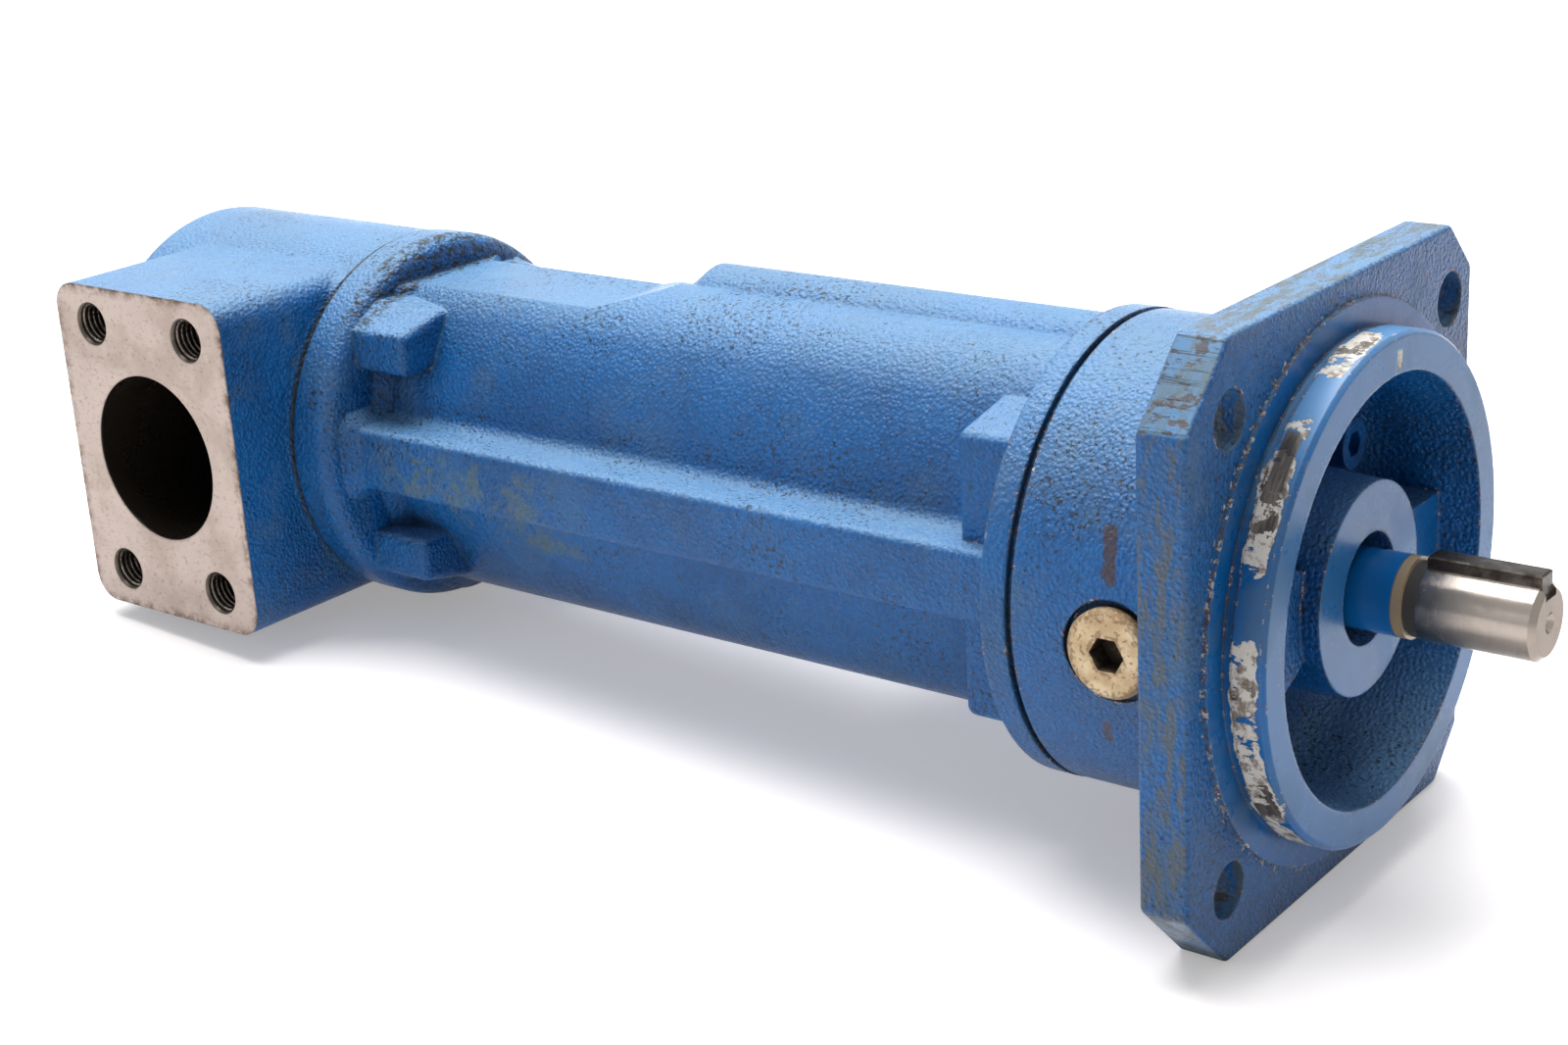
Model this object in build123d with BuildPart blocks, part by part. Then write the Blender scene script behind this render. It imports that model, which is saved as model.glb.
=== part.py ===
from build123d import *
from cmath import exp, phase
from math import acos, cos, hypot, pi, radians, sin, sqrt, tan
import os

os.makedirs("parts", exist_ok=True)

# A flange-mounted three-screw oil pump with its own ball bearing and mechanical seal.
# Millimetres. +X runs along the shaft towards the motor, +Z is up and the inlet looks along -Y.
# The origin is on the shaft's axis, in the plane of the turned seat round the pilot.

# ---------------------------------------------------------------- front cover
cover_length = 58.4  # from the mounting seat back to the joint with the body
barrel_r = 59.8
joint_groove = 1.8  # width and depth of the groove turned at the joint
edge_break = 1.0  # chamfers on turned edges
flange_half = 75.4  # square flange, from the axis to a side
flange_corner = 56.9  # half the length of a side between its cut corners
flange_trim = 69.6  # the side above the outlet is cut closer to the axis
flange_thickness = 12.8
flange_corner_fillet = 3.0
flange_root_fillet = 4.0
flange_edge_fillet = 1.2
seat_r = 69.1
seat_height = 1.0  # the turned seat stands this far above the cast flange
pilot_r = 62.5
pilot_height = 10.6
pilot_relief = 0.7
pilot_relief_width = 2.5
mount_bolt_circle = 160.0
mount_hole_r = 7.0
recess_r = 52.9  # mouth of the recess inside the pilot
recess_depth = 22.0  # behind the mounting seat
recess_draft = 3.0
recess_fillet = 13.0
hub_r = 26.3
hub_face = 5.75
hub_draft = 1.2
hub_fillet = 4.0
hub_bore_r = 13.9
web_width = 16.0
web_angle = 50.0  # the broad web on the inlet side is a sector
web_step = 1.0  # the broad web stands this far in front of the mounting seat

# ---------------------------------------------------------------- pump body
body_length = 251.3
body_half_width = 33.4
body_half_height = 51.0
crown_r = 26.0  # top and bottom arcs of the oval barrel
front_ring_r = 60.0
front_ring_width = 6.8
rear_ring_r = 56.1
rear_ring_width = 14.7
rear_ring_round = 5.0
flange_root = 4.0  # 45 degree slope where the barrel meets its flanges
rib_reach = 46.5
rib_half_height = 9.5
rib_fillet = 2.5
rib_root_fillet = 5.0
boss_reach = 40.5  # side faces of the bolt bosses
boss_fillet = 3.0
boss_end_fillet = 2.5
front_boss_length = 18.8
front_boss_top = 37.2  # at the side faces, rising to the crown
front_boss_crown = 41.5
front_boss_crown_reach = 20.0
rear_boss_length = 20.0
rear_boss_bottom = 25.0
rear_boss_shoulder = 37.6  # top of the side faces, at the front end
rear_boss_crown = 41.0
rear_boss_crown_reach = 22.5
rear_boss_root = 44.4  # the bosses rise towards the ring
rear_boss_root_reach = 33.0
rear_boss_root_shoulder = 36.4
neck_height = 46.0  # flat on top, in front of the rear flange
neck_length = 72.0
neck_ramp = 18.0
gallery_r = 14.5  # half-round gallery on top of the body
gallery_y = 14.0
gallery_z = 40.0
gallery_length = 142.0
gallery_slope = 35.0  # its rear end, off square
chamber_half_width = 25.0
chamber_half_height = 36.0

# ---------------------------------------------------------------- ports
port_corner = 8.0
port_tap_depth = 22.0
port_chamfer = 0.8
outlet_face = 66.0  # from the axis
outlet_half_length = 39.0
outlet_half_height = 24.6
outlet_bore_r = 16.0
outlet_spacing_x = 58.7
outlet_spacing_z = 30.2
outlet_thread_r = 5.0  # nominal radius of the tapped holes
inlet_face = 75.8
inlet_half_width = 37.0
inlet_half_height = 50.6
inlet_bore_r = 25.4
inlet_spacing_x = 42.88
inlet_spacing_z = 77.77
inlet_thread_r = 6.0
inlet_from_joint = 38.6  # inlet axis behind the joint of body and rear cover
inlet_blend = 6.0

# ---------------------------------------------------------------- rear cover
rear_cover_length = 91.8
rear_cover_r = 55.3
rear_edge_fillet = 5.0
rear_chamber_r = 30.0
rear_wall = 16.5

# ---------------------------------------------------------------- screws and their bores
screw_pitch_r = 9.6  # both pitch circles; the rotors stand two of these apart
power_tip_r = 16.0  # bore of the middle screw
idler_root_r = 3.2
tip_clearance = 0.1  # every profile radius is reduced by this
flank_clearance = 1.2  # degrees each flank is set back
screw_lead = 64.0
screw_length = 132.0
thread_pieces = 8  # the threads are twisted in equal lengths, end to end
screw_end_gap = 1.0
suction_gap = 13.0
screw_neck_r = 9.0
power_journal_r = 7.0
idler_journal_r = 4.0
idler_stub_r = 6.0
idler_stub_length = 12.0
journal_end_gap = 1.5
running_clearance = 0.04
thrust_plate_thickness = 12.0
thrust_plate_r = 34.0
power_bush_r = 10.0
idler_bush_r = 6.0
window_r = 8.0
window_y = 22.0
balance_piston_r = 14.0
balance_bush_r = 20.0
balance_bush_length = 24.0
balance_collar_r = 24.0
balance_collar_width = 4.0
piston_overhang = 0.6

# ---------------------------------------------------------------- shaft end
shaft_r = 9.5
shaft_length = 50.0
shaft_end_length = 28.5
shaft_chamfer = 1.5
shaft_relief_r = 9.2
shaft_relief_width = 3.5
centre_drill_r = 2.6
centre_drill_depth = 5.0
key_width = 6.0
key_height = 6.0
key_seat_depth = 3.5
key_length = 27.5
key_bevel = 0.4

# ---------------------------------------------------------------- ball bearing and its circlips
bearing_outer_r = 23.5
bearing_bore_r = 10.0
bearing_width = 14.0
outer_land_r = 20.2
inner_land_r = 13.4
race_bevel = 0.8
ball_r = 3.95
ball_count = 8
cage_width = 9.6
cage_thickness = 1.6
cage_pocket_clearance = 0.2
shoulder_r = 12.5
bore_circlip_width = 1.75
bore_circlip_depth = 1.25
bore_circlip_reach = 3.0
shaft_circlip_width = 1.2
shaft_circlip_depth = 0.5
shaft_circlip_reach = 2.6
shaft_lug_drop = 0.5  # its lugs' centres below its outer edge
circlip_gap = 8.0
circlip_lug_r = 2.2
circlip_eye_r = 1.0

# ---------------------------------------------------------------- mechanical seal
seal_wall = 11.75  # hub wall in front of the seat ring
seal_seat_r = 17.5
seal_seat_width = 7.0
seal_seat_bore_r = 11.2
seat_groove_width = 2.4
seat_groove_depth = 2.0
seat_o_ring_round = 0.7
seal_film = 0.05
seal_ring_width = 5.0
seal_ring_r = 17.0
seal_ring_bore_r = 10.6
bellows_width = 9.0
bellows_cuff = 3.0  # behind the ring, before the bellows narrows
bellows_cone = 1.5
bellows_r = 13.2
retainer_width = 2.8
retainer_sleeve_r = 11.8
seal_length = 22.8
spring_r = 15.2
spring_wire_r = 0.9
spring_turns = 2.5
spring_steps_per_turn = 16  # the wire is drawn in short straight lengths
seal_chamber_r = 20.0

# ---------------------------------------------------------------- fasteners, plug and O-rings
front_screw_y = 32.0
front_screw_z = 24.0
rear_screw_y = 33.2
rear_screw_z = 33.2
rear_counterbore = 9.0
front_screw_length = 55.0
rear_screw_length = 100.0
screw_r = 4.0
screw_head_r = 6.5
screw_head_height = 8.0
screw_socket = 6.0  # across flats
screw_socket_depth = 4.0
screw_hole_clearance = 0.5
head_clearance = 0.7
tap_runout = 2.0
o_ring_front_r = 30.0  # inner radius of the groove in the front cover
o_ring_rear_r = 36.0
o_ring_groove_width = 3.6
o_ring_groove_depth = 2.3
o_ring_width = 3.2
o_ring_round = 0.8
plug_from_seat = 29.8  # plug axis behind the mounting seat
plug_drop = 2.5  # and below the shaft's axis
plug_spot_r = 12.6
plug_spot_face = 57.0
plug_collar_r = 11.0
plug_collar_height = 3.0
plug_thread_r = 8.3
plug_thread_length = 12.0
plug_thread_clearance = 0.05
plug_socket = 8.0
plug_socket_depth = 6.0
plug_seal_thickness = 1.5
plug_seal_r = 10.8
plug_drill_r = 4.0

# ---------------------------------------------------------------- stations along the shaft
joint_front = -cover_length
joint_rear = joint_front - body_length
rear_end = joint_rear - rear_cover_length
flange_front = -seat_height
flange_back = flange_front - flange_thickness
recess_floor = -recess_depth

seal_front = hub_face - seal_wall
seal_plane = seal_front - seal_seat_width
seal_back = seal_plane - seal_length
ring_back = seal_plane - seal_film - seal_ring_width
bearing_front = seal_back - shaft_circlip_width
bearing_back = bearing_front - bearing_width
bearing_middle = bearing_front - bearing_width / 2
ball_circle_r = (outer_land_r + inner_land_r) / 2

bush_back = joint_front - balance_bush_length
plate_front = joint_rear + thrust_plate_thickness
bores_back = plate_front + suction_gap
screws_back = bores_back + screw_end_gap
screws_front = screws_back + screw_length
bores_front = screws_front + screw_end_gap
journal_end = joint_rear + journal_end_gap
outlet_x = (bush_back + bores_front) / 2
inlet_x = joint_rear - inlet_from_joint
plug_place = [(-plug_from_seat, -plug_drop)]

idler_z = 2 * screw_pitch_r
power_root_r = screw_pitch_r
idler_tip_r = idler_z - power_root_r
mount_hole_y = mount_bolt_circle / 2 * cos(radians(45))
rear_screw_seat = rear_end + rear_counterbore


def turn(*outline, height=0.0, mode=Mode.ADD):
    """Revolve a closed outline of (x, radius) points about the shaft's axis, or one above it."""
    with BuildSketch(Plane.XY.offset(height)) as half_section:
        with BuildLine():
            Polyline(*outline, close=True)
        make_face()
    revolve(half_section.sketch, axis=Axis((0, 0, height), (1, 0, 0)), mode=mode)


def collar(x_front, x_back, r_outer, r_inner=0.0, height=0.0, mode=Mode.ADD):
    """A plain turned ring or disc between two stations."""
    turn((x_front, r_inner), (x_front, r_outer), (x_back, r_outer), (x_back, r_inner),
         height=height, mode=mode)


def corners(y, z):
    """The four mirrored places (+-y, +-z) in a plane square to the shaft."""
    return [(side * y, level * z) for side in (-1, 1) for level in (-1, 1)]


def bars(x_front, x_back, r, places, mode=Mode.ADD):
    """Round bars or holes parallel to the shaft."""
    with BuildSketch(Plane.YZ.offset(x_back)) as rounds:
        with Locations(*places):
            Circle(r)
    extrude(rounds.sketch, amount=x_front - x_back, mode=mode)


def side_plane(y):
    """A plane looking along -Y, with its first axis along +X and its second along +Z."""
    return Plane(origin=(0, y, 0), x_dir=(1, 0, 0), z_dir=(0, -1, 0))


def side_rounds(y_from, y_to, r, places, mode=Mode.ADD):
    """Round bosses or holes square to the shaft, between two distances along Y."""
    with BuildSketch(side_plane(y_from)) as rounds:
        with Locations(*places):
            Circle(r)
    extrude(rounds.sketch, amount=y_from - y_to, mode=mode)


# ================================================================ front cover
with BuildPart() as front_cover:
    corner_reach = (flange_half + flange_corner) / sqrt(2)
    with BuildSketch(Plane.YZ.offset(flange_back)) as flange_outline:
        with Locations(((flange_trim - flange_half) / 2, 0)):
            Rectangle(flange_half + flange_trim, 2 * flange_half)
        Rectangle(2 * corner_reach, 2 * corner_reach, rotation=45, mode=Mode.INTERSECT)
        fillet(flange_outline.vertices(), radius=flange_corner_fillet)
    extrude(amount=flange_thickness)
    fillet(front_cover.faces().sort_by(Axis.X)[-1].edges(), radius=flange_edge_fillet)
    fillet(front_cover.faces().sort_by(Axis.X)[0].edges(), radius=flange_edge_fillet)
    collar(flange_back, joint_front, barrel_r)
    fillet(
        front_cover.edges().filter_by(GeomType.CIRCLE).filter_by(
            lambda edge: abs(edge.radius - barrel_r) < 0.01
        ).sort_by(Axis.X)[-1],
        radius=flange_root_fillet,
    )
    turn(
        (flange_back, 0),
        (flange_back, barrel_r),
        (flange_front, seat_r),
        (0, seat_r),
        (0, pilot_r - pilot_relief),
        (pilot_relief_width, pilot_r - pilot_relief),
        (pilot_relief_width, pilot_r),
        (pilot_height - edge_break, pilot_r),
        (pilot_height, pilot_r - edge_break),
        (pilot_height, 0),
    )
    collar(joint_front + joint_groove, joint_front, barrel_r + joint_groove,
           barrel_r - joint_groove, mode=Mode.SUBTRACT)
    # recess round the hub, with a bowl-shaped outer corner
    with BuildSketch(Plane.XY) as recess:
        with BuildLine():
            Polyline(
                (pilot_height, 0),
                (hub_face, 0),
                (hub_face, hub_r),
                (recess_floor, hub_r + hub_draft),
                (recess_floor, recess_r - recess_draft),
                (pilot_height, recess_r),
                close=True,
            )
        make_face()
        fillet(recess.vertices().group_by(Axis.X)[0].sort_by(Axis.Y)[-1], radius=recess_fillet)
        fillet(recess.vertices().group_by(Axis.X)[0].sort_by(Axis.Y)[0], radius=hub_fillet)
    revolve(axis=Axis.X, mode=Mode.SUBTRACT)
    # webs from the hub to the pilot: a bar on one side, a sector on the inlet side
    web_reach = (recess_r + pilot_r) / 2
    with BuildSketch(Plane.YZ.offset(recess_floor)):
        with Locations((web_reach / 2, 0)):
            Rectangle(web_reach, web_width)
    extrude(amount=recess_depth)
    with BuildSketch(Plane.YZ.offset(recess_floor)):
        Circle(web_reach)
        with BuildLine():
            sector_rise = web_reach * tan(radians(web_angle / 2))
            Polyline((0, 0), (-web_reach, sector_rise), (-web_reach, -sector_rise), close=True)
        make_face(mode=Mode.INTERSECT)
    extrude(amount=recess_depth + web_step)
    # screw holes and their spot faces
    bars(0, recess_floor, screw_head_r + head_clearance, corners(front_screw_y, front_screw_z),
         mode=Mode.SUBTRACT)
    bars(recess_floor, joint_front, screw_r + screw_hole_clearance,
         corners(front_screw_y, front_screw_z), mode=Mode.SUBTRACT)
    # bore for the shaft, the seal, the bearing and its circlip
    turn(
        (hub_face, 0),
        (hub_face, hub_bore_r),
        (seal_front, hub_bore_r),
        (seal_front, seal_seat_r),
        (seal_plane, seal_seat_r),
        (seal_plane, seal_chamber_r),
        (bearing_front, seal_chamber_r),
        (bearing_front, bearing_outer_r),
        (joint_front, bearing_outer_r),
        (joint_front, 0),
        mode=Mode.SUBTRACT,
    )
    collar(bearing_back, bearing_back - bore_circlip_width, bearing_outer_r + bore_circlip_depth,
           mode=Mode.SUBTRACT)
    collar(joint_front + o_ring_groove_depth, joint_front, o_ring_front_r + o_ring_groove_width,
           o_ring_front_r, mode=Mode.SUBTRACT)
    bars(flange_front, flange_back, mount_hole_r, corners(mount_hole_y, mount_hole_y),
         mode=Mode.SUBTRACT)
    # filling hole of the seal chamber, with the spot face of its plug
    side_rounds(-barrel_r - edge_break, -plug_spot_face, plug_spot_r, plug_place, mode=Mode.SUBTRACT)
    side_rounds(-plug_spot_face, plug_thread_length + tap_runout - plug_spot_face,
                plug_thread_r + plug_thread_clearance, plug_place, mode=Mode.SUBTRACT)
    side_rounds(-plug_spot_face, tap_runout - seal_chamber_r, plug_drill_r, plug_place,
                mode=Mode.SUBTRACT)
front_cover.part.label = "front_cover"
export_step(front_cover.part, "parts/front_cover.step")

# ================================================================ pump body
with BuildPart() as pump_body:
    # flanges at both joints
    collar(joint_front, joint_front - front_ring_width, front_ring_r)
    collar(joint_rear + rear_ring_width, joint_rear, rear_ring_r)
    fillet(pump_body.edges().filter_by(GeomType.CIRCLE).sort_by(Axis.X)[1], radius=rear_ring_round)
    chamfer(pump_body.edges().filter_by(GeomType.CIRCLE).sort_by(Axis.X)[0], length=edge_break)
    # bolt bosses behind the front flange, merging with the ribs
    front_boss_end = joint_front - front_ring_width - front_boss_length
    with BuildSketch(Plane.YZ.offset(front_boss_end)) as front_bosses:
        with BuildLine():
            Polyline(
                (boss_reach, -front_boss_top),
                (boss_reach, front_boss_top),
                (front_boss_crown_reach, front_boss_crown),
                (-front_boss_crown_reach, front_boss_crown),
                (-boss_reach, front_boss_top),
                (-boss_reach, -front_boss_top),
                (-front_boss_crown_reach, -front_boss_crown),
                (front_boss_crown_reach, -front_boss_crown),
                close=True,
            )
        make_face()
        fillet(front_bosses.vertices(), radius=boss_fillet)
    extrude(amount=front_boss_length)
    fillet(pump_body.edges().filter_by_position(Axis.X, front_boss_end, front_boss_end),
           radius=boss_end_fillet)
    # bolt bosses in front of the rear flange, with a pocket between each boss and its rib
    rear_boss_end = joint_rear + rear_ring_width + rear_boss_length
    for level in (-1, 1):
        for station, shoulder, crown_y, crown_top in (
            (joint_rear + rear_ring_width / 2, rear_boss_root_shoulder, rear_boss_root_reach, rear_boss_root),
            (rear_boss_end, rear_boss_shoulder, rear_boss_crown_reach, rear_boss_crown),
        ):
            with BuildSketch(Plane.YZ.offset(station)) as boss_section:
                with BuildLine():
                    Polyline(
                        (boss_reach, level * rear_boss_bottom),
                        (boss_reach, level * shoulder),
                        (crown_y, level * crown_top),
                        (-crown_y, level * crown_top),
                        (-boss_reach, level * shoulder),
                        (-boss_reach, level * rear_boss_bottom),
                        close=True,
                    )
                make_face()
                fillet(boss_section.vertices(), radius=boss_end_fillet)
        loft(ruled=True)
    fillet(pump_body.edges().filter_by_position(Axis.X, rear_boss_end, rear_boss_end),
           radius=boss_end_fillet)
    # oval barrel of four tangent arcs, with a rib along each side
    crown_z = body_half_height - crown_r
    flank_r = (crown_z**2 + body_half_width**2 - crown_r**2) / (2 * (body_half_width - crown_r))
    flank_y = flank_r - body_half_width
    tangent_y = crown_r * flank_y / hypot(flank_y, crown_z)
    tangent_z = crown_z + crown_r * crown_z / hypot(flank_y, crown_z)
    with BuildSketch(Plane.YZ.offset(joint_rear)) as barrel:
        with BuildLine():
            ThreePointArc((tangent_y, -tangent_z), (body_half_width, 0), (tangent_y, tangent_z))
            ThreePointArc((tangent_y, tangent_z), (0, body_half_height), (-tangent_y, tangent_z))
            ThreePointArc((-tangent_y, tangent_z), (-body_half_width, 0), (-tangent_y, -tangent_z))
            ThreePointArc((-tangent_y, -tangent_z), (0, -body_half_height), (tangent_y, -tangent_z))
        make_face()
        RectangleRounded(2 * rib_reach, 2 * rib_half_height, rib_fillet)
        rib_roots = barrel.vertices().filter_by(
            lambda corner: abs(corner.X) < body_half_width and abs(corner.Y) < rib_half_height + rib_fillet
        )
        fillet(rib_roots, radius=rib_root_fillet)
    extrude(amount=body_length)
    # sloped roots where barrel and ribs run into the flanges
    for root_x, leaving in ((joint_front - front_ring_width, -1), (joint_rear + rear_ring_width, 1)):
        with BuildSketch(Plane.YZ.offset(root_x)):
            add(offset(barrel.sketch_local, amount=flange_root, mode=Mode.PRIVATE))
        extrude(amount=leaving * flange_root, taper=45)
    # flat neck on top with a ramp at its front end
    neck_back = joint_rear + rear_ring_width
    neck_front = neck_back + neck_length
    with BuildSketch(Plane.XZ.offset(-body_half_width)):
        with BuildLine():
            Polyline(
                (neck_back, neck_height),
                (neck_front, neck_height),
                (neck_front + neck_ramp, body_half_height),
                (neck_front + neck_ramp, neck_height + body_half_height),
                (neck_back, neck_height + body_half_height),
                close=True,
            )
        make_face()
    extrude(amount=2 * body_half_width, mode=Mode.SUBTRACT)
    # half-round gallery along the top, with a sloped rear end
    gallery_back = joint_front - gallery_length
    with BuildSketch(Plane.YZ.offset(gallery_back)):
        with Locations((gallery_y, gallery_z)):
            Circle(gallery_r)
    extrude(amount=gallery_length)
    with BuildSketch(Plane.YZ.offset(gallery_back)):
        with Locations((gallery_y, gallery_z)):
            Circle(gallery_r)
    extrude(amount=-gallery_r, taper=gallery_slope)
    # outlet branch
    with BuildSketch(side_plane(outlet_face)):
        with Locations((outlet_x, 0)):
            RectangleRounded(2 * outlet_half_length, 2 * outlet_half_height, port_corner)
    extrude(amount=outlet_face)
    # bores of the three screws
    bars(bores_front, bores_back, power_tip_r, [(0, 0)], mode=Mode.SUBTRACT)
    bars(bores_front, bores_back, idler_tip_r, [(0, idler_z), (0, -idler_z)], mode=Mode.SUBTRACT)
    # outlet chamber and suction chamber
    for chamber_back, chamber_front in ((bores_front, bush_back), (plate_front, bores_back)):
        with BuildSketch(Plane.YZ.offset(chamber_back)):
            Ellipse(chamber_half_width, chamber_half_height)
        extrude(amount=chamber_front - chamber_back, mode=Mode.SUBTRACT)
    # seats of the balance bush and the thrust plate
    collar(joint_front, joint_front - balance_collar_width, balance_collar_r, mode=Mode.SUBTRACT)
    collar(joint_front, bush_back, balance_bush_r, mode=Mode.SUBTRACT)
    collar(plate_front, joint_rear, thrust_plate_r, mode=Mode.SUBTRACT)
    # outlet port and its tapped holes
    side_rounds(outlet_face, 0, outlet_bore_r, [(outlet_x, 0)], mode=Mode.SUBTRACT)
    outlet_taps = [(outlet_x + y / 2, z / 2) for y, z in corners(outlet_spacing_x, outlet_spacing_z)]
    side_rounds(outlet_face, outlet_face - port_tap_depth, outlet_thread_r, outlet_taps, mode=Mode.SUBTRACT)
    chamfer(
        pump_body.faces().sort_by(Axis.Y)[-1].edges().filter_by(GeomType.CIRCLE).filter_by(
            lambda edge: abs(edge.radius - outlet_thread_r) < 0.01
        ),
        length=port_chamfer,
    )
    # tapped holes for both covers' screws
    bars(joint_front, recess_floor - front_screw_length - tap_runout, screw_r,
         corners(front_screw_y, front_screw_z), mode=Mode.SUBTRACT)
    bars(rear_screw_seat + rear_screw_length + tap_runout, joint_rear, screw_r,
         corners(rear_screw_y, rear_screw_z), mode=Mode.SUBTRACT)
pump_body.part.label = "pump_body"
export_step(pump_body.part, "parts/pump_body.step")

# ================================================================ rear cover
with BuildPart() as rear_cover:
    collar(joint_rear, rear_end, rear_cover_r)
    fillet(rear_cover.edges().sort_by(Axis.X)[0], radius=rear_edge_fillet)
    chamfer(rear_cover.edges().filter_by(GeomType.CIRCLE).sort_by(Axis.X)[-1], length=edge_break)
    with BuildSketch(side_plane(-inlet_face)):
        with Locations((inlet_x, 0)):
            RectangleRounded(2 * inlet_half_width, 2 * inlet_half_height, port_corner)
    extrude(amount=-inlet_face)
    fillet(
        rear_cover.edges().filter_by_position(Axis.Y, -rear_cover_r, -rear_cover_r / 3).filter_by_position(
            Axis.X, inlet_x - inlet_half_width, inlet_x + inlet_half_width
        ),
        radius=inlet_blend,
    )
    collar(joint_rear, rear_end + rear_wall, rear_chamber_r, mode=Mode.SUBTRACT)
    side_rounds(-inlet_face, 0, inlet_bore_r, [(inlet_x, 0)], mode=Mode.SUBTRACT)
    inlet_taps = [(inlet_x + y / 2, z / 2) for y, z in corners(inlet_spacing_x, inlet_spacing_z)]
    side_rounds(-inlet_face, port_tap_depth - inlet_face, inlet_thread_r, inlet_taps, mode=Mode.SUBTRACT)
    chamfer(
        rear_cover.faces().sort_by(Axis.Y)[0].edges().filter_by(GeomType.CIRCLE).filter_by(
            lambda edge: abs(edge.radius - inlet_thread_r) < 0.01
        ),
        length=port_chamfer,
    )
    bars(joint_rear, rear_end, screw_r + screw_hole_clearance, corners(rear_screw_y, rear_screw_z),
         mode=Mode.SUBTRACT)
    bars(rear_screw_seat, rear_end, screw_head_r + head_clearance, corners(rear_screw_y, rear_screw_z),
         mode=Mode.SUBTRACT)
    collar(joint_rear, joint_rear - o_ring_groove_depth, o_ring_rear_r + o_ring_groove_width,
           o_ring_rear_r, mode=Mode.SUBTRACT)
rear_cover.part.label = "rear_cover"
export_step(rear_cover.part, "parts/rear_cover.step")


# ================================================================ cover screws
def socket_screws(seat, length, places, towards):
    """Socket-head screws along the shaft, their heads on the +X or the -X side of the seat."""
    tip = seat - towards * length
    head_end = seat + towards * screw_head_height
    bars(max(seat, tip), min(seat, tip), screw_r, places)
    bars(max(seat, head_end), min(seat, head_end), screw_head_r, places)
    with BuildSketch(Plane.YZ.offset(head_end)) as sockets:
        with Locations(*places):
            RegularPolygon(screw_socket / 2, 6, major_radius=False)
    extrude(sockets.sketch, amount=-towards * screw_socket_depth, mode=Mode.SUBTRACT)


with BuildPart() as front_cover_screws:
    socket_screws(recess_floor, front_screw_length, corners(front_screw_y, front_screw_z), 1)
front_cover_screws.part.label = "front_cover_screws"
export_step(front_cover_screws.part, "parts/front_cover_screws.step")

with BuildPart() as rear_cover_screws:
    socket_screws(rear_screw_seat, rear_screw_length, corners(rear_screw_y, rear_screw_z), -1)
rear_cover_screws.part.label = "rear_cover_screws"
export_step(rear_cover_screws.part, "parts/rear_cover_screws.step")


# ================================================================ O-rings of the joints
def joint_ring(x_front, groove_r):
    """An O-ring pressed into a face groove, flattened where it meets groove and joint."""
    with BuildSketch(Plane.XY) as squeezed:
        with Locations((x_front - o_ring_groove_depth / 2, groove_r + o_ring_groove_width / 2)):
            Rectangle(o_ring_groove_depth, o_ring_width)
        chamfer(squeezed.vertices(), length=o_ring_round)
    revolve(squeezed.sketch, axis=Axis.X)


with BuildPart() as front_o_ring:
    joint_ring(joint_front + o_ring_groove_depth, o_ring_front_r)
front_o_ring.part.label = "front_o_ring"
export_step(front_o_ring.part, "parts/front_o_ring.step")

with BuildPart() as rear_o_ring:
    joint_ring(joint_rear, o_ring_rear_r)
rear_o_ring.part.label = "rear_o_ring"
export_step(rear_o_ring.part, "parts/rear_o_ring.step")

# ================================================================ filling plug and its sealing ring
with BuildPart() as plug_seal:
    side_rounds(-plug_spot_face - plug_seal_thickness, -plug_spot_face, plug_seal_r, plug_place)
    side_rounds(-plug_spot_face - plug_seal_thickness, -plug_spot_face, plug_thread_r, plug_place,
                mode=Mode.SUBTRACT)
plug_seal.part.label = "plug_seal"
export_step(plug_seal.part, "parts/plug_seal.step")

with BuildPart() as side_plug:
    plug_seat = -plug_spot_face - plug_seal_thickness
    plug_top = plug_seat - plug_collar_height
    side_rounds(plug_top, plug_seat, plug_collar_r, plug_place)
    chamfer(side_plug.edges().sort_by(Axis.Y)[0], length=edge_break)
    side_rounds(plug_seat, plug_seat + plug_thread_length, plug_thread_r, plug_place)
    with BuildSketch(side_plane(plug_top)):
        with Locations(*plug_place):
            RegularPolygon(plug_socket / 2, 6, major_radius=False)
    extrude(amount=-plug_socket_depth, mode=Mode.SUBTRACT)
side_plug.part.label = "side_plug"
export_step(side_plug.part, "parts/side_plug.step")


# ================================================================ screws
def flank_points(root_r, tip_r, steps=6):
    """One flank, from root to tip, turning anticlockwise about the screw's own centre.

    Each flank is the path of the other screw's tip edge as the two pitch circles roll together.
    """
    other_tip_r = idler_z - root_r
    reach = acos((idler_z**2 + other_tip_r**2 - tip_r**2) / (2 * idler_z * other_tip_r))
    path = []
    for step in range(steps + 1):
        rolled = reach * step / steps
        point = idler_z * exp(1j * rolled) - other_tip_r * exp(2j * rolled)
        path.append(point * (abs(point) - tip_clearance) / abs(point))
    return path if phase(path[-1]) > 0 else [point.conjugate() for point in path]


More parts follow.
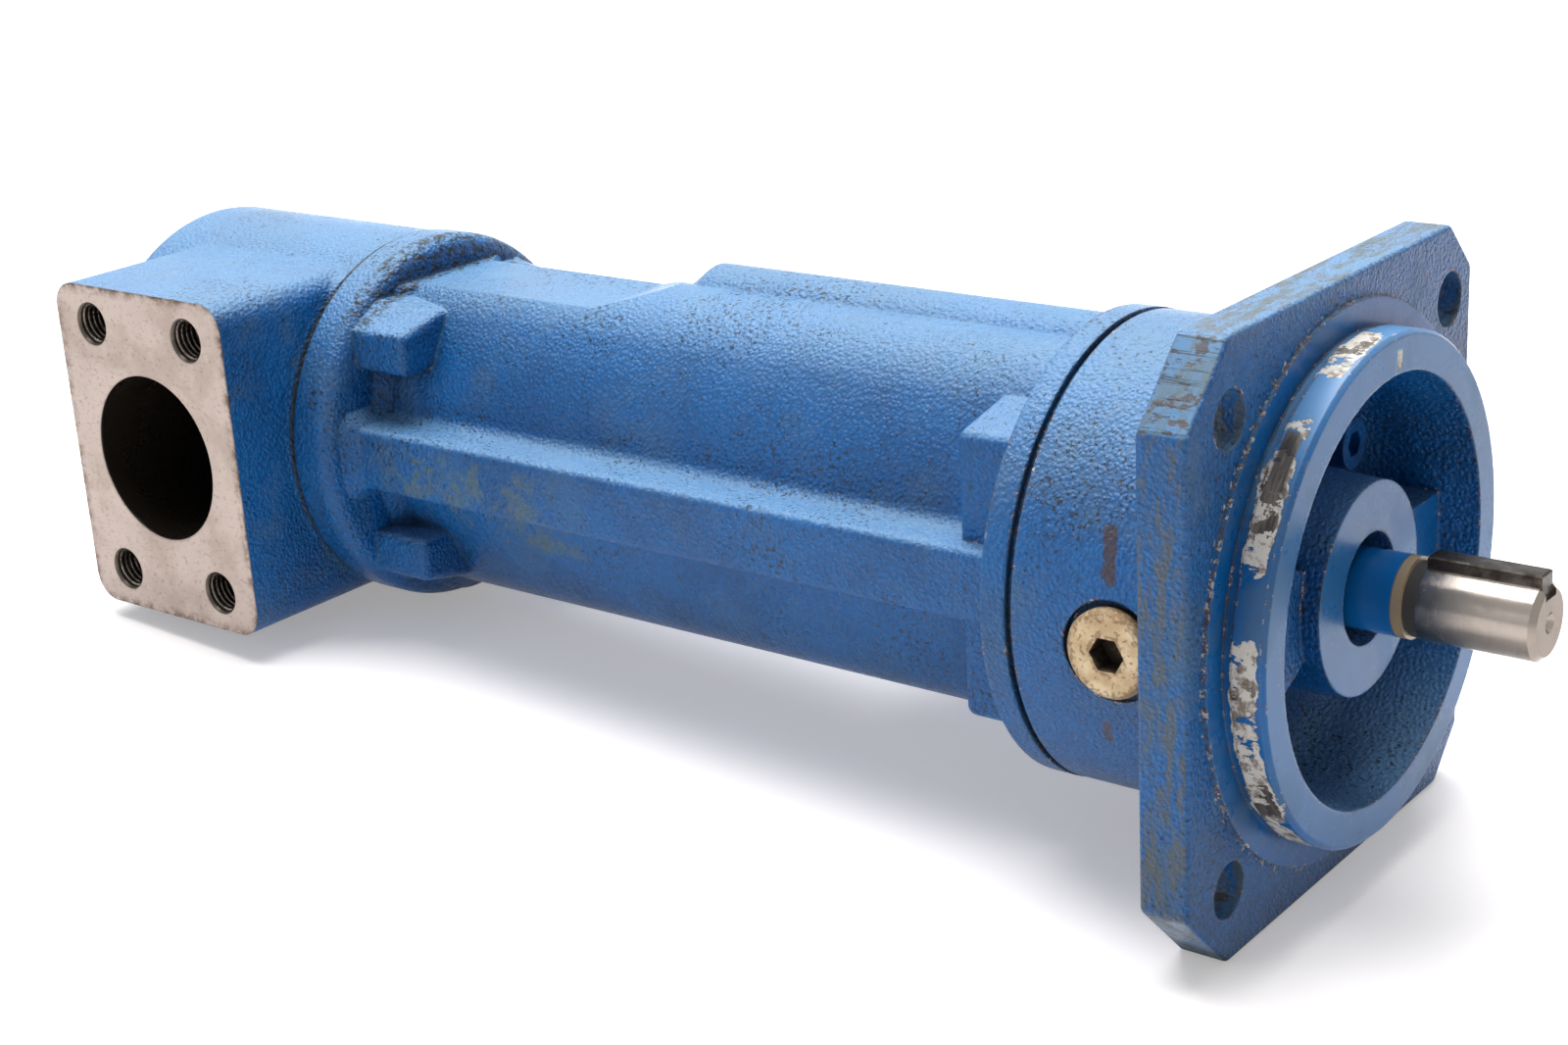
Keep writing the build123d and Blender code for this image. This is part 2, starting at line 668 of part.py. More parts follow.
def screw_threads(root_r, tip_r, first_tip, hand, height):
    """Twisted two-start threads whose rear end has the middle of a tip at the given angle."""
    flank = flank_points(root_r, tip_r)
    half_flank_to_flank = (pi / 2 - phase(flank[-1])) / 2
    setback = radians(flank_clearance)
    outlines = []
    for start in (0, pi):
        middle = radians(first_tip) + start
        rise = exp(1j * (middle - half_flank_to_flank - phase(flank[-1]) + setback))
        fall = exp(1j * (middle + half_flank_to_flank + phase(flank[-1]) - setback))
        outlines.append(
            (
                [point * rise for point in flank],
                (tip_r - tip_clearance) * exp(1j * middle),
                [point.conjugate() * fall for point in reversed(flank)],
                (root_r - tip_clearance) * exp(1j * (middle + pi / 2)),
            )
        )
    with BuildSketch(Plane.YZ.offset(screws_back)) as section:
        with BuildLine():
            for index in (0, 1):
                rising, tip, falling, valley = outlines[index]
                next_foot = outlines[1 - index][0][0]
                Spline(*[(point.real, point.imag) for point in rising])
                ThreePointArc((rising[-1].real, rising[-1].imag), (tip.real, tip.imag),
                              (falling[0].real, falling[0].imag))
                Spline(*[(point.real, point.imag) for point in falling])
                ThreePointArc((falling[-1].real, falling[-1].imag), (valley.real, valley.imag),
                              (next_foot.real, next_foot.imag))
        make_face()
    piece_length = screw_length / thread_pieces
    piece_twist = hand * 360 * piece_length / screw_lead
    return [
        Solid.extrude_linear_with_rotation(
            section.sketch.faces()[0].moved(
                Location((step * piece_length, 0, height), (step * piece_twist, 0, 0))
            ),
            (screws_back + step * piece_length, 0, height),
            (piece_length, 0, 0),
            piece_twist,
        )
        for step in range(thread_pieces)
    ]


with BuildPart() as power_rotor:
    add(screw_threads(power_root_r, power_tip_r, 90, 1, 0))
    turn(
        (screws_back, 0),
        (screws_back, power_journal_r),
        (journal_end + edge_break, power_journal_r),
        (journal_end, power_journal_r - edge_break),
        (journal_end, 0),
    )
    relief_front = shaft_length - shaft_end_length
    relief_back = relief_front - shaft_relief_width
    turn(
        (screws_front, 0),
        (screws_front, screw_neck_r),
        (bush_back - piston_overhang, screw_neck_r),
        (bush_back - piston_overhang, balance_piston_r),
        (joint_front - edge_break, balance_piston_r),
        (joint_front - edge_break, shoulder_r),
        (bearing_back, shoulder_r),
        (bearing_back, bearing_bore_r),
        (bearing_front, bearing_bore_r),
        (bearing_front, bearing_bore_r - shaft_circlip_depth),
        (seal_back, bearing_bore_r - shaft_circlip_depth),
        (seal_back, bearing_bore_r),
        (relief_back, bearing_bore_r),
        (relief_back, shaft_relief_r),
        (relief_front, shaft_relief_r),
        (relief_front, shaft_r),
        (shaft_length - shaft_chamfer, shaft_r),
        (shaft_length, shaft_r - shaft_chamfer),
        (shaft_length, centre_drill_r),
        (shaft_length - centre_drill_depth, 0),
    )
    key_floor = shaft_r - key_seat_depth
    key_front = relief_front + key_length
    with BuildSketch(Plane.XY.offset(key_floor)):
        with Locations(((relief_front + shaft_length + shaft_chamfer) / 2, 0)):
            Rectangle(shaft_length + shaft_chamfer - relief_front, key_width)
    extrude(amount=key_seat_depth + edge_break, mode=Mode.SUBTRACT)
power_rotor.part.label = "power_rotor"
export_step(power_rotor.part, "parts/power_rotor.step")

with BuildPart() as shaft_key:
    with BuildSketch(Plane.XY.offset(key_floor)):
        with Locations(((relief_front + key_front) / 2, 0)):
            Rectangle(key_length, key_width)
    extrude(amount=key_height)
    chamfer(shaft_key.faces().sort_by(Axis.Z)[-1].edges(), length=key_bevel)
shaft_key.part.label = "shaft_key"
export_step(shaft_key.part, "parts/shaft_key.step")


def idler_screw(height):
    """An idler with its free stub in the outlet chamber and its journal in the thrust plate."""
    add(screw_threads(idler_root_r, idler_tip_r, 0, -1, height))
    turn(
        (screws_front, 0),
        (screws_front, idler_stub_r),
        (screws_front + idler_stub_length - edge_break, idler_stub_r),
        (screws_front + idler_stub_length, idler_stub_r - edge_break),
        (screws_front + idler_stub_length, 0),
        height=height,
    )
    collar(screws_back, journal_end, idler_journal_r, height=height)


with BuildPart() as idler_upper:
    idler_screw(idler_z)
idler_upper.part.label = "idler_upper"
export_step(idler_upper.part, "parts/idler_upper.step")

with BuildPart() as idler_lower:
    idler_screw(-idler_z)
idler_lower.part.label = "idler_lower"
export_step(idler_lower.part, "parts/idler_lower.step")

# ================================================================ thrust plate and bushes
with BuildPart() as thrust_plate:
    collar(plate_front, joint_rear, thrust_plate_r)
    bars(plate_front, joint_rear, power_bush_r, [(0, 0)], mode=Mode.SUBTRACT)
    bars(plate_front, joint_rear, idler_bush_r, [(0, idler_z), (0, -idler_z)], mode=Mode.SUBTRACT)
    bars(plate_front, joint_rear, window_r, [(window_y, 0), (-window_y, 0)], mode=Mode.SUBTRACT)
thrust_plate.part.label = "thrust_plate"
export_step(thrust_plate.part, "parts/thrust_plate.step")

with BuildPart() as rotor_bush:
    collar(plate_front, joint_rear, power_bush_r, power_journal_r + running_clearance)
rotor_bush.part.label = "rotor_bush"
export_step(rotor_bush.part, "parts/rotor_bush.step")

with BuildPart() as idler_bushes:
    for side in (-1, 1):
        collar(plate_front, joint_rear, idler_bush_r, idler_journal_r + running_clearance,
               height=side * idler_z)
idler_bushes.part.label = "idler_bushes"
export_step(idler_bushes.part, "parts/idler_bushes.step")

with BuildPart() as balance_bush:
    collar(joint_front, joint_front - balance_collar_width, balance_collar_r)
    collar(joint_front, bush_back, balance_bush_r)
    collar(joint_front, bush_back, balance_piston_r + running_clearance, mode=Mode.SUBTRACT)
balance_bush.part.label = "balance_bush"
export_step(balance_bush.part, "parts/balance_bush.step")

# ================================================================ ball bearing
race_r = ball_r + running_clearance


def race_groove():
    """The ball track, cut from whichever ring is being made."""
    with BuildSketch(Plane.XY) as track:
        with Locations((bearing_middle, ball_circle_r)):
            Circle(race_r)
    revolve(track.sketch, axis=Axis.X, mode=Mode.SUBTRACT)


with BuildPart() as bearing_outer_ring:
    turn(
        (bearing_front, outer_land_r),
        (bearing_front, bearing_outer_r - race_bevel),
        (bearing_front - race_bevel, bearing_outer_r),
        (bearing_back + race_bevel, bearing_outer_r),
        (bearing_back, bearing_outer_r - race_bevel),
        (bearing_back, outer_land_r),
    )
    race_groove()
bearing_outer_ring.part.label = "bearing_outer_ring"
export_step(bearing_outer_ring.part, "parts/bearing_outer_ring.step")

with BuildPart() as bearing_inner_ring:
    collar(bearing_front, bearing_back, inner_land_r, bearing_bore_r)
    race_groove()
bearing_inner_ring.part.label = "bearing_inner_ring"
export_step(bearing_inner_ring.part, "parts/bearing_inner_ring.step")

with BuildPart(Plane.YZ.offset(bearing_middle)) as bearing_balls:
    with PolarLocations(ball_circle_r, ball_count):
        Sphere(ball_r)
bearing_balls.part.label = "bearing_balls"
export_step(bearing_balls.part, "parts/bearing_balls.step")

with BuildPart(Plane.YZ.offset(bearing_middle)) as bearing_cage:
    collar(bearing_middle + cage_width / 2, bearing_middle - cage_width / 2,
           ball_circle_r + cage_thickness / 2, ball_circle_r - cage_thickness / 2)
    with PolarLocations(ball_circle_r, ball_count):
        Cylinder(ball_r + cage_pocket_clearance, 2 * cage_thickness, rotation=(0, 90, 0), mode=Mode.SUBTRACT)
bearing_cage.part.label = "bearing_cage"
export_step(bearing_cage.part, "parts/bearing_cage.step")


# ================================================================ circlips
def circlip(x_front, x_back, r_outer, r_inner, lug_circle_r):
    """A snap ring, open at the top, with an eyed lug at each end."""
    with BuildSketch(Plane.YZ.offset(x_back)) as ring:
        Circle(r_outer)
        Circle(r_inner, mode=Mode.SUBTRACT)
        with Locations((0, r_outer)):
            Rectangle(circlip_gap, r_outer, mode=Mode.SUBTRACT)
        for side in (-1, 1):
            with Locations((side * (circlip_gap / 2 + circlip_lug_r / 2), lug_circle_r)):
                Circle(circlip_lug_r)
                Circle(circlip_eye_r, mode=Mode.SUBTRACT)
    extrude(ring.sketch, amount=x_front - x_back)


with BuildPart() as bearing_circlip:
    clip_r = bearing_outer_r + bore_circlip_depth
    circlip(bearing_back, bearing_back - bore_circlip_width, clip_r, clip_r - bore_circlip_reach,
            clip_r - bore_circlip_reach)
bearing_circlip.part.label = "bearing_circlip"
export_step(bearing_circlip.part, "parts/bearing_circlip.step")

with BuildPart() as shaft_circlip:
    clip_bore_r = bearing_bore_r - shaft_circlip_depth
    circlip(seal_back, bearing_front, clip_bore_r + shaft_circlip_reach, clip_bore_r,
            clip_bore_r + shaft_circlip_reach - shaft_lug_drop)
shaft_circlip.part.label = "shaft_circlip"
export_step(shaft_circlip.part, "parts/shaft_circlip.step")

# ================================================================ mechanical seal
with BuildPart() as seal_seat:
    turn(
        (seal_front, seal_seat_bore_r),
        (seal_front, seal_seat_r - seat_groove_depth),
        (seal_front - seat_groove_width, seal_seat_r - seat_groove_depth),
        (seal_front - seat_groove_width, seal_seat_r),
        (seal_plane, seal_seat_r),
        (seal_plane, seal_seat_bore_r),
    )
seal_seat.part.label = "seal_seat"
export_step(seal_seat.part, "parts/seal_seat.step")

with BuildPart() as seat_o_ring:
    with BuildSketch(Plane.XY) as seat_o_ring_section:
        with Locations((seal_front - seat_groove_width / 2, seal_seat_r - seat_groove_depth / 2)):
            Rectangle(seat_groove_width, seat_groove_depth)
        chamfer(seat_o_ring_section.vertices(), length=seat_o_ring_round)
    revolve(axis=Axis.X)
seat_o_ring.part.label = "seat_o_ring"
export_step(seat_o_ring.part, "parts/seat_o_ring.step")

with BuildPart() as seal_ring:
    turn(
        (seal_plane - seal_film, seal_ring_bore_r),
        (seal_plane - seal_film, bellows_r + edge_break),
        (seal_plane - seal_film - edge_break, bellows_r + edge_break),
        (seal_plane - seal_film - edge_break, seal_ring_r),
        (ring_back, seal_ring_r),
        (ring_back, seal_ring_bore_r),
    )
seal_ring.part.label = "seal_ring"
export_step(seal_ring.part, "parts/seal_ring.step")

with BuildPart() as seal_bellows:
    turn(
        (ring_back, bearing_bore_r),
        (ring_back, bellows_r),
        (ring_back - bellows_cuff, bellows_r),
        (ring_back - bellows_cuff - bellows_cone, retainer_sleeve_r),
        (ring_back - bellows_width, retainer_sleeve_r),
        (ring_back - bellows_width, bearing_bore_r),
    )
seal_bellows.part.label = "seal_bellows"
export_step(seal_bellows.part, "parts/seal_bellows.step")

with BuildPart() as seal_retainer:
    collar(seal_back + retainer_width, seal_back, seal_ring_r, bearing_bore_r)
    collar(ring_back - bellows_width, seal_back, retainer_sleeve_r, bearing_bore_r)
seal_retainer.part.label = "seal_retainer"
export_step(seal_retainer.part, "parts/seal_retainer.step")

with BuildPart() as seal_spring:
    spring_back = seal_back + retainer_width + spring_wire_r
    spring_rise = ring_back - spring_wire_r - spring_back
    spring_steps = round(spring_turns * spring_steps_per_turn)
    coil = []
    for step in range(spring_steps + 1):
        angle = 2 * pi * step / spring_steps_per_turn
        coil.append(
            (spring_back + spring_rise * step / spring_steps, spring_r * cos(angle), spring_r * sin(angle))
        )
    with BuildLine() as wire:
        Polyline(*coil)
    with BuildSketch(Plane(origin=wire.line @ 0, z_dir=wire.line % 0)):
        RegularPolygon(spring_wire_r, 8)
    sweep(transition=Transition.RIGHT)
seal_spring.part.label = "seal_spring"
export_step(seal_spring.part, "parts/seal_spring.step")
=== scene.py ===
# %% [markdown]
# # A flange-mounted three-screw pump
#
# The solid model already has every casting, screw and seal in its place. This notebook gives the
# pump its skin: blue enamel over rough iron, bare turned faces, a bright shaft and cut threads.
# Everything is in metres, in the solid model's own frame: +X runs along the shaft to the motor,
# +Z is up, and the suction port faces -Y.

# %% Load the solid model
import math

import bpy
from mathutils import Matrix, Vector


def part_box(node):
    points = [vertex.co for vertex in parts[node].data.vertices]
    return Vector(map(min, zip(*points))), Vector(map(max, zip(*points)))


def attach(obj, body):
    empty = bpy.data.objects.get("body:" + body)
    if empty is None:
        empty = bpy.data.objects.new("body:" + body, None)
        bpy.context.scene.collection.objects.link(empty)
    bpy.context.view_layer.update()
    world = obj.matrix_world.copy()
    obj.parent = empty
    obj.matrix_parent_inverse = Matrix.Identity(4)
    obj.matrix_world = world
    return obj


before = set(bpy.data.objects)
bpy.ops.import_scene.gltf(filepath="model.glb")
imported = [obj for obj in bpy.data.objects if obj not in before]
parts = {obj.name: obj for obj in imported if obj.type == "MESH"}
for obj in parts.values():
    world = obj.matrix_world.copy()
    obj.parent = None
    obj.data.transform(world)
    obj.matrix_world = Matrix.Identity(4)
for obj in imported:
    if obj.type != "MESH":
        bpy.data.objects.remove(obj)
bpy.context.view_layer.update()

print("solid pieces:", len(parts))

# %% [markdown]
# Colours are easiest to judge as a painter writes them, in the 0 to 255 steps of a colour chart,
# while Blender's shaders want light values. One small converter keeps the rest readable.

# %% Colours


def paint(red, green, blue):
    """A colour chart's 0 to 255 values as the linear colour a shader wants."""
    steps = [channel / 255 for channel in (red, green, blue)]
    return tuple(s / 12.92 if s <= 0.04045 else ((s + 0.055) / 1.055) ** 2.4 for s in steps) + (1.0,)


enamel_blue = paint(12, 93, 158)
enamel_deep = paint(4, 58, 107)
enamel_worn = paint(70, 134, 180)
# pale blue for faces that look up: a painted sheen of sky light, with dust
enamel_sky_sheen_and_dust = paint(122, 164, 198)
# near black: dirt in the pits, and painted shade in corners and joints
dark_grime_and_shade = paint(22, 28, 28)
grime_dust = paint(88, 104, 104)
rust_brown = paint(96, 62, 42)
primer_white = paint(205, 201, 192)
iron_bare = paint(150, 143, 136)
print("enamel:", [round(channel, 3) for channel in enamel_blue[:3]])

# %% [markdown]
# Shader trees grow long, so a bench of short tools comes first: one call places a node and wires
# its inputs, where an input may be a number, a colour or another node's output.

# %% A bench for shader trees


class Bench:
    """A node tree with short ways to place and wire nodes."""

    def __init__(self, tree):
        self.tree = tree

    def wire(self, socket, value):
        if isinstance(value, bpy.types.NodeSocket):
            self.tree.links.new(value, socket)
        else:
            socket.default_value = value

    def place(self, kind, settings=None, **inputs):
        node = self.tree.nodes.new("ShaderNode" + kind)
        for name, value in (settings or {}).items():
            setattr(node, name, value)
        for name, value in inputs.items():
            self.wire(node.inputs[name.replace("_", " ")], value)
        return node

    def math(self, operation, *values, clamp=False):
        node = self.place("Math", {"operation": operation, "use_clamp": clamp})
        for socket, value in zip(node.inputs, values):
            self.wire(socket, value)
        return node.outputs["Value"]

    def both(self, *masks):
        """All of the masks at once: their product."""
        result = masks[0]
        for mask in masks[1:]:
            result = self.math("MULTIPLY", result, mask)
        return result

    def either(self, *masks):
        result = masks[0]
        for mask in masks[1:]:
            result = self.math("MAXIMUM", result, mask)
        return result

    def rise(self, value, start, end, low=0.0, high=1.0):
        """A smooth step from low to high as value goes from start to end."""
        node = self.place("MapRange", {"interpolation_type": "SMOOTHSTEP"}, Value=value)
        for name, number in (("From Min", start), ("From Max", end), ("To Min", low), ("To Max", high)):
            self.wire(node.inputs[name], number)
        return node.outputs["Result"]

    def band(self, value, start, end, soft):
        """One between start and end, nothing outside, with soft borders."""
        begun = self.rise(value, start, start + soft)
        not_ended = self.rise(value, end, end + soft, 1.0, 0.0)
        return self.both(begun, not_ended)

    def noise(self, vector, size, detail=2.0, roughness=0.5):
        """Cloudy noise whose lumps are about size across."""
        node = self.place("TexNoise", None, Vector=vector, Scale=1 / size)
        self.wire(node.inputs["Detail"], detail)
        self.wire(node.inputs["Roughness"], roughness)
        return node.outputs["Fac"]

    def stretch(self, vector, factors):
        """The pattern stretched or squeezed along each axis."""
        node = self.place("VectorMath", {"operation": "MULTIPLY"})
        self.wire(node.inputs[0], vector)
        self.wire(node.inputs[1], factors)
        return node.outputs["Vector"]

    def blend(self, factor, first, second):
        """Colour first where the factor is nothing, second where it is one."""
        node = self.place("Mix", {"data_type": "RGBA"})
        self.wire(node.inputs["Factor"], factor)
        self.wire(node.inputs[6], first)
        self.wire(node.inputs[7], second)
        return node.outputs[2]

    def coat(self, colour, top, mask, strength):
        """The colour with a thin coat of top over it, as strong as strength where the mask is one."""
        return self.blend(self.math("MULTIPLY", mask, strength), colour, top)

    def group(self, shared, **inputs):
        node = self.tree.nodes.new("ShaderNodeGroup")
        node.node_tree = shared
        for name, value in inputs.items():
            self.wire(node.inputs[name.replace("_", " ")], value)
        return node.outputs


def new_group(name, inputs, outputs):
    """An empty shader group with the named number, vector or colour sockets."""
    shared = bpy.data.node_groups.new(name, "ShaderNodeTree")
    for way, sockets in (("INPUT", inputs), ("OUTPUT", outputs)):
        for label, kind in sockets.items():
            shared.interface.new_socket(label, in_out=way, socket_type="NodeSocket" + kind)
    given = shared.nodes.new("NodeGroupInput").outputs
    wanted = shared.nodes.new("NodeGroupOutput").inputs
    return shared, Bench(shared), given, wanted


print("bench ready")

# %% [markdown]
# Sand casting leaves iron pebbled: the metal copies the grains of the mould, and thick enamel
# rounds them into soft grains about a millimetre across. A smooth Voronoi gives the grains and a
# finer noise the roughness between them. Machined faces get none of it, so a mask comes in from
# outside.

# %% Group: the pebbled skin of a sand casting
cast_skin, bench, given, wanted = new_group(
    "cast_skin", {"Vector": "Vector"}, {"Height": "Float", "Hollows": "Float"}
)
sand_grains_per_metre = 820.0
beads = bench.place("TexVoronoi", {"feature": "SMOOTH_F1"}, Vector=given["Vector"],
                    Scale=sand_grains_per_metre, Smoothness=0.3).outputs["Distance"]
lumps = bench.rise(beads, 0.75, 0.1)
swell = bench.noise(given["Vector"], 0.0034, 2.0)
grain = bench.noise(given["Vector"], 0.0008, 3.0, 0.65)
height = bench.math("MULTIPLY_ADD", lumps, 0.4, bench.math("MULTIPLY", swell, 0.28))
bench.wire(wanted["Height"], bench.math("MULTIPLY_ADD", grain, 0.62, height))
bench.wire(wanted["Hollows"], bench.rise(bench.math("ADD", lumps, grain), 0.95, 0.6))
print("group:", cast_skin.name)

# %% [markdown]
# Corners, grooves and the places under ridges and round bosses are darkened: painted shade,
# which also stands for the oil and dust that settle where a cloth can't reach. Ambient occlusion finds
# those places on any shape, and noise breaks the border up so that it doesn't look drawn.

# %% Group: painted shade and grime in corners
corner_shade_and_grime, bench, given, wanted = new_group(
    "corner_shade_and_grime", {"Vector": "Vector"}, {"Mask": "Float"}
)
corner_reach = 0.011
shelter = bench.place("AmbientOcclusion", {"samples": 8}, Distance=corner_reach).outputs["AO"]
cloud = bench.noise(given["Vector"], 0.009, 4.0, 0.6)
closed = bench.math("SUBTRACT", 1.0, shelter)
bench.wire(wanted["Mask"], bench.rise(bench.math("MULTIPLY_ADD", cloud, 0.55, closed), 0.62, 1.0))
print("group:", corner_shade_and_grime.name)

# %% [markdown]
# Edges are where enamel wears first. The Bevel node gives the normal that a rounded edge would
# have, and wherever it differs from the true normal there is an edge. The same node also feeds the
# shading, so that cast corners look rounded off, as the mould leaves them.

# %% Group: edges, found by comparing normals
edge_finder, bench, given, wanted = new_group("edge_finder", {}, {"Mask": "Float"})
worn_edge_radius = 0.0014
soft_edge = bench.place("Bevel", {"samples": 6}, Radius=worn_edge_radius).outputs["Normal"]
flat_normal = bench.place("NewGeometry").outputs["Normal"]
agreement = bench.place("VectorMath", {"operation": "DOT_PRODUCT"})
bench.wire(agreement.inputs[0], soft_edge)
bench.wire(agreement.inputs[1], flat_normal)
bench.wire(wanted["Mask"], bench.rise(agreement.outputs["Value"], 0.985, 0.86))
print("group:", edge_finder.name)

# %% [markdown]
# Rust comes in clusters of small brown specks. Two noises are multiplied: a slow one chooses the
# places, a fast one the specks.

# %% Group: specks of rust
rust_specks, bench, given, wanted = new_group(
    "rust_specks", {"Vector": "Vector", "Amount": "Float"}, {"Mask": "Float"}
)
places = bench.noise(given["Vector"], 0.02, 2.0)
specks = bench.noise(given["Vector"], 0.0013, 3.0, 0.6)
level = bench.math("MULTIPLY_ADD", places, 0.35, specks)
threshold = bench.math("SUBTRACT", 1.02, bench.math("MULTIPLY", given["Amount"], 0.25))
over = bench.math("SUBTRACT", level, threshold)
bench.wire(wanted["Mask"], bench.rise(over, -0.02, 0.03))
print("group:", rust_specks.name)

# %% [markdown]
# A lathe leaves fine rings round its axis. On a shaft along X the rings are planes of constant X,
# so noise squeezed hard along X and stretched across it reads as tool marks.

# %% Group: turned marks along the shaft
turned_marks, bench, given, wanted = new_group(
    "turned_marks", {"Vector": "Vector"}, {"Height": "Float"}
)
rings = bench.stretch(given["Vector"], (9000.0, 60.0, 60.0))
bench.wire(wanted["Height"], bench.noise(rings, 1.0, 2.0))
print("group:", turned_marks.name)

# %% [markdown]
# Every finish starts the same way: a material, its shader, the place on the piece in the frame's
# own coordinates, and the surface's normal. The starter hands these over.

# %% Starting a material


class Finish(Bench):
    """A material with its Principled shader, and the sockets most finishes need."""

    def __init__(self, name):
        self.material = bpy.data.materials.new(name)
        self.material.use_nodes = True
        super().__init__(self.material.node_tree)
        self.shader = self.tree.nodes["Principled BSDF"]
        self.place_on_piece = self.place("TexCoord").outputs["Object"]
        axes = self.place("SeparateXYZ", None, Vector=self.place_on_piece)
        self.x, self.y, self.z = (axes.outputs[axis] for axis in "XYZ")
        facing = self.place("SeparateXYZ", None, Vector=self.place("NewGeometry").outputs["True Normal"])
        self.face_x, self.face_y, self.face_z = (facing.outputs[axis] for axis in "XYZ")

    def set(self, **inputs):
        for name, value in inputs.items():
            self.wire(self.shader.inputs[name.replace("_", " ")], value)

    def from_axis(self, first, second):
        """Distance from an axis, where first and second are the two coordinates across it."""
        squares = self.math("ADD", self.math("POWER", first, 2.0), self.math("POWER", second, 2.0))
        return self.math("SQRT", squares)

    def relief(self, height, depth, normal=None):
        """Bumps of the given depth, in metres."""
        node = self.place("Bump", None, Height=height, Distance=depth)
        if normal is not None:
            self.wire(node.inputs["Normal"], normal)
        self.set(Normal=node.outputs["Normal"])


def dress(finish, *names):
    """Give every slot of the named solid pieces the finish."""
    for name in names:
        mesh = parts[name].data
        if not mesh.materials:
            mesh.materials.append(finish.material)
        for index in range(len(mesh.materials)):
            mesh.materials[index] = finish.material
    print(finish.material.name, "->", ", ".join(names))


# %% [markdown]
# The three castings share one enamel: glossy blue, deeper in the hollows between the lumps, dusty
# in patches, paler on faces that look up with a painted sheen of sky light, darkened in corners by
# painted shade and grime, and chipped to brown iron or pale primer along edges. Each casting
# then says where its own machined faces are, and those stay smooth.

# %% The enamel that all castings share


def enamel(finish, smooth, dust=0.22, wear=0.0, shade_and_grime_strength=0.75):
    """Blue enamel on a casting, where smooth marks the machined faces. Returns colour, gloss, height."""
    where = finish.place_on_piece
    skin = finish.group(cast_skin, Vector=where)
    shade_and_grime = finish.group(corner_shade_and_grime, Vector=where)["Mask"]
    edges = finish.group(edge_finder)["Mask"]
    rough = finish.math("SUBTRACT", 1.0, smooth)
    # the paint itself, thinner on the lumps and deeper between them
    tone = finish.rise(finish.noise(where, 0.05, 3.0, 0.6), 0.4, 0.68, 0.0, 0.5)
    colour = finish.blend(tone, enamel_blue, enamel_deep)
    hollows = finish.both(skin["Hollows"], rough, finish.rise(tone, 0.0, 1.0, 0.35, 0.6))
    colour = finish.blend(hollows, colour, enamel_deep)
    # a film of dust in patches, and a paler blue on faces that look up: a painted sheen of sky light,
    # with some dust
    film = finish.rise(finish.noise(where, 0.022, 5.0, 0.65), 0.48, 0.68)
    colour = finish.coat(colour, grime_dust, film, dust)
    facing_up_sheen = finish.rise(finish.face_z, 0.35, 0.97, 0.0, 0.5)
    colour = finish.blend(facing_up_sheen, colour, enamel_sky_sheen_and_dust)
    # dark pits between the grains, then painted shade and grime in the corners
    crumbs = finish.noise(where, 0.0012, 3.0, 0.62)
    stains = finish.rise(finish.noise(where, 0.03, 4.0, 0.6), 0.42, 0.64, 0.0, 0.09)
    pits = finish.rise(finish.math("ADD", crumbs, stains), 0.645, 0.69)
    colour = finish.coat(colour, dark_grime_and_shade, finish.both(pits, rough), 0.8)
    colour = finish.coat(colour, dark_grime_and_shade, shade_and_grime, shade_and_grime_strength)
    # edges rubbed pale, chipped and rusty
    colour = finish.coat(colour, enamel_worn, edges, 0.3)
    knocks = finish.noise(where, 0.0022, 4.0, 0.7)
    places = finish.rise(finish.noise(where, 0.018, 2.0), 0.46 - wear, 0.6 - wear)
    chips = finish.both(finish.rise(edges, 0.15, 0.4), places, finish.rise(knocks, 0.5, 0.54))
    chip_colour = finish.blend(finish.rise(knocks, 0.58, 0.62), rust_brown, primer_white)
    colour = finish.blend(chips, colour, chip_colour)
    rust_amount = finish.math("MULTIPLY", edges, 0.8)
    rust = finish.group(rust_specks, Vector=where, Amount=rust_amount)["Mask"]
    colour = finish.blend(rust, colour, rust_brown)
    gloss = finish.math("MULTIPLY_ADD", shade_and_grime, 0.35, finish.rise(film, 0.0, 1.0, 0.27, 0.4))
    gloss = finish.either(gloss, finish.math("MULTIPLY", finish.either(rust, chips), 0.75))
    finish.shader.inputs["Specular IOR Level"].default_value = 0.27
    return colour, gloss, finish.both(skin["Height"], rough)


def smear(finish, start, end, width):
    """A narrow smudge between two points on the casting, ragged at its border."""
    line = Vector(end) - Vector(start)
    away = finish.place("VectorMath", {"operation": "SUBTRACT"})
    finish.wire(away.inputs[0], finish.place_on_piece)
    finish.wire(away.inputs[1], start)
    along_line = finish.place("VectorMath", {"operation": "DOT_PRODUCT"})
    finish.wire(along_line.inputs[0], away.outputs["Vector"])
    finish.wire(along_line.inputs[1], tuple(line / line.length_squared))
    share = finish.math("MULTIPLY", along_line.outputs["Value"], 1.0, clamp=True)
    nearest = finish.place("VectorMath", {"operation": "SCALE"})
    finish.wire(nearest.inputs[0], tuple(line))
    finish.wire(nearest.inputs["Scale"], share)
    gap = finish.place("VectorMath", {"operation": "DISTANCE"})
    finish.wire(gap.inputs[0], away.outputs["Vector"])
    finish.wire(gap.inputs[1], nearest.outputs["Vector"])
    ragged = finish.noise(finish.place_on_piece, 0.0025, 5.0, 0.7)
    reach = finish.math("MULTIPLY_ADD", ragged, -2.2 * width, gap.outputs["Value"])
    return finish.rise(reach, 0.1 * width, -0.5 * width)


cast_relief = 0.00065


def rounded(finish, radius):
    """The normal of edges rounded to the given radius."""
    return finish.place("Bevel", {"samples": 6}, Radius=radius).outputs["Normal"]


print("enamel ready")

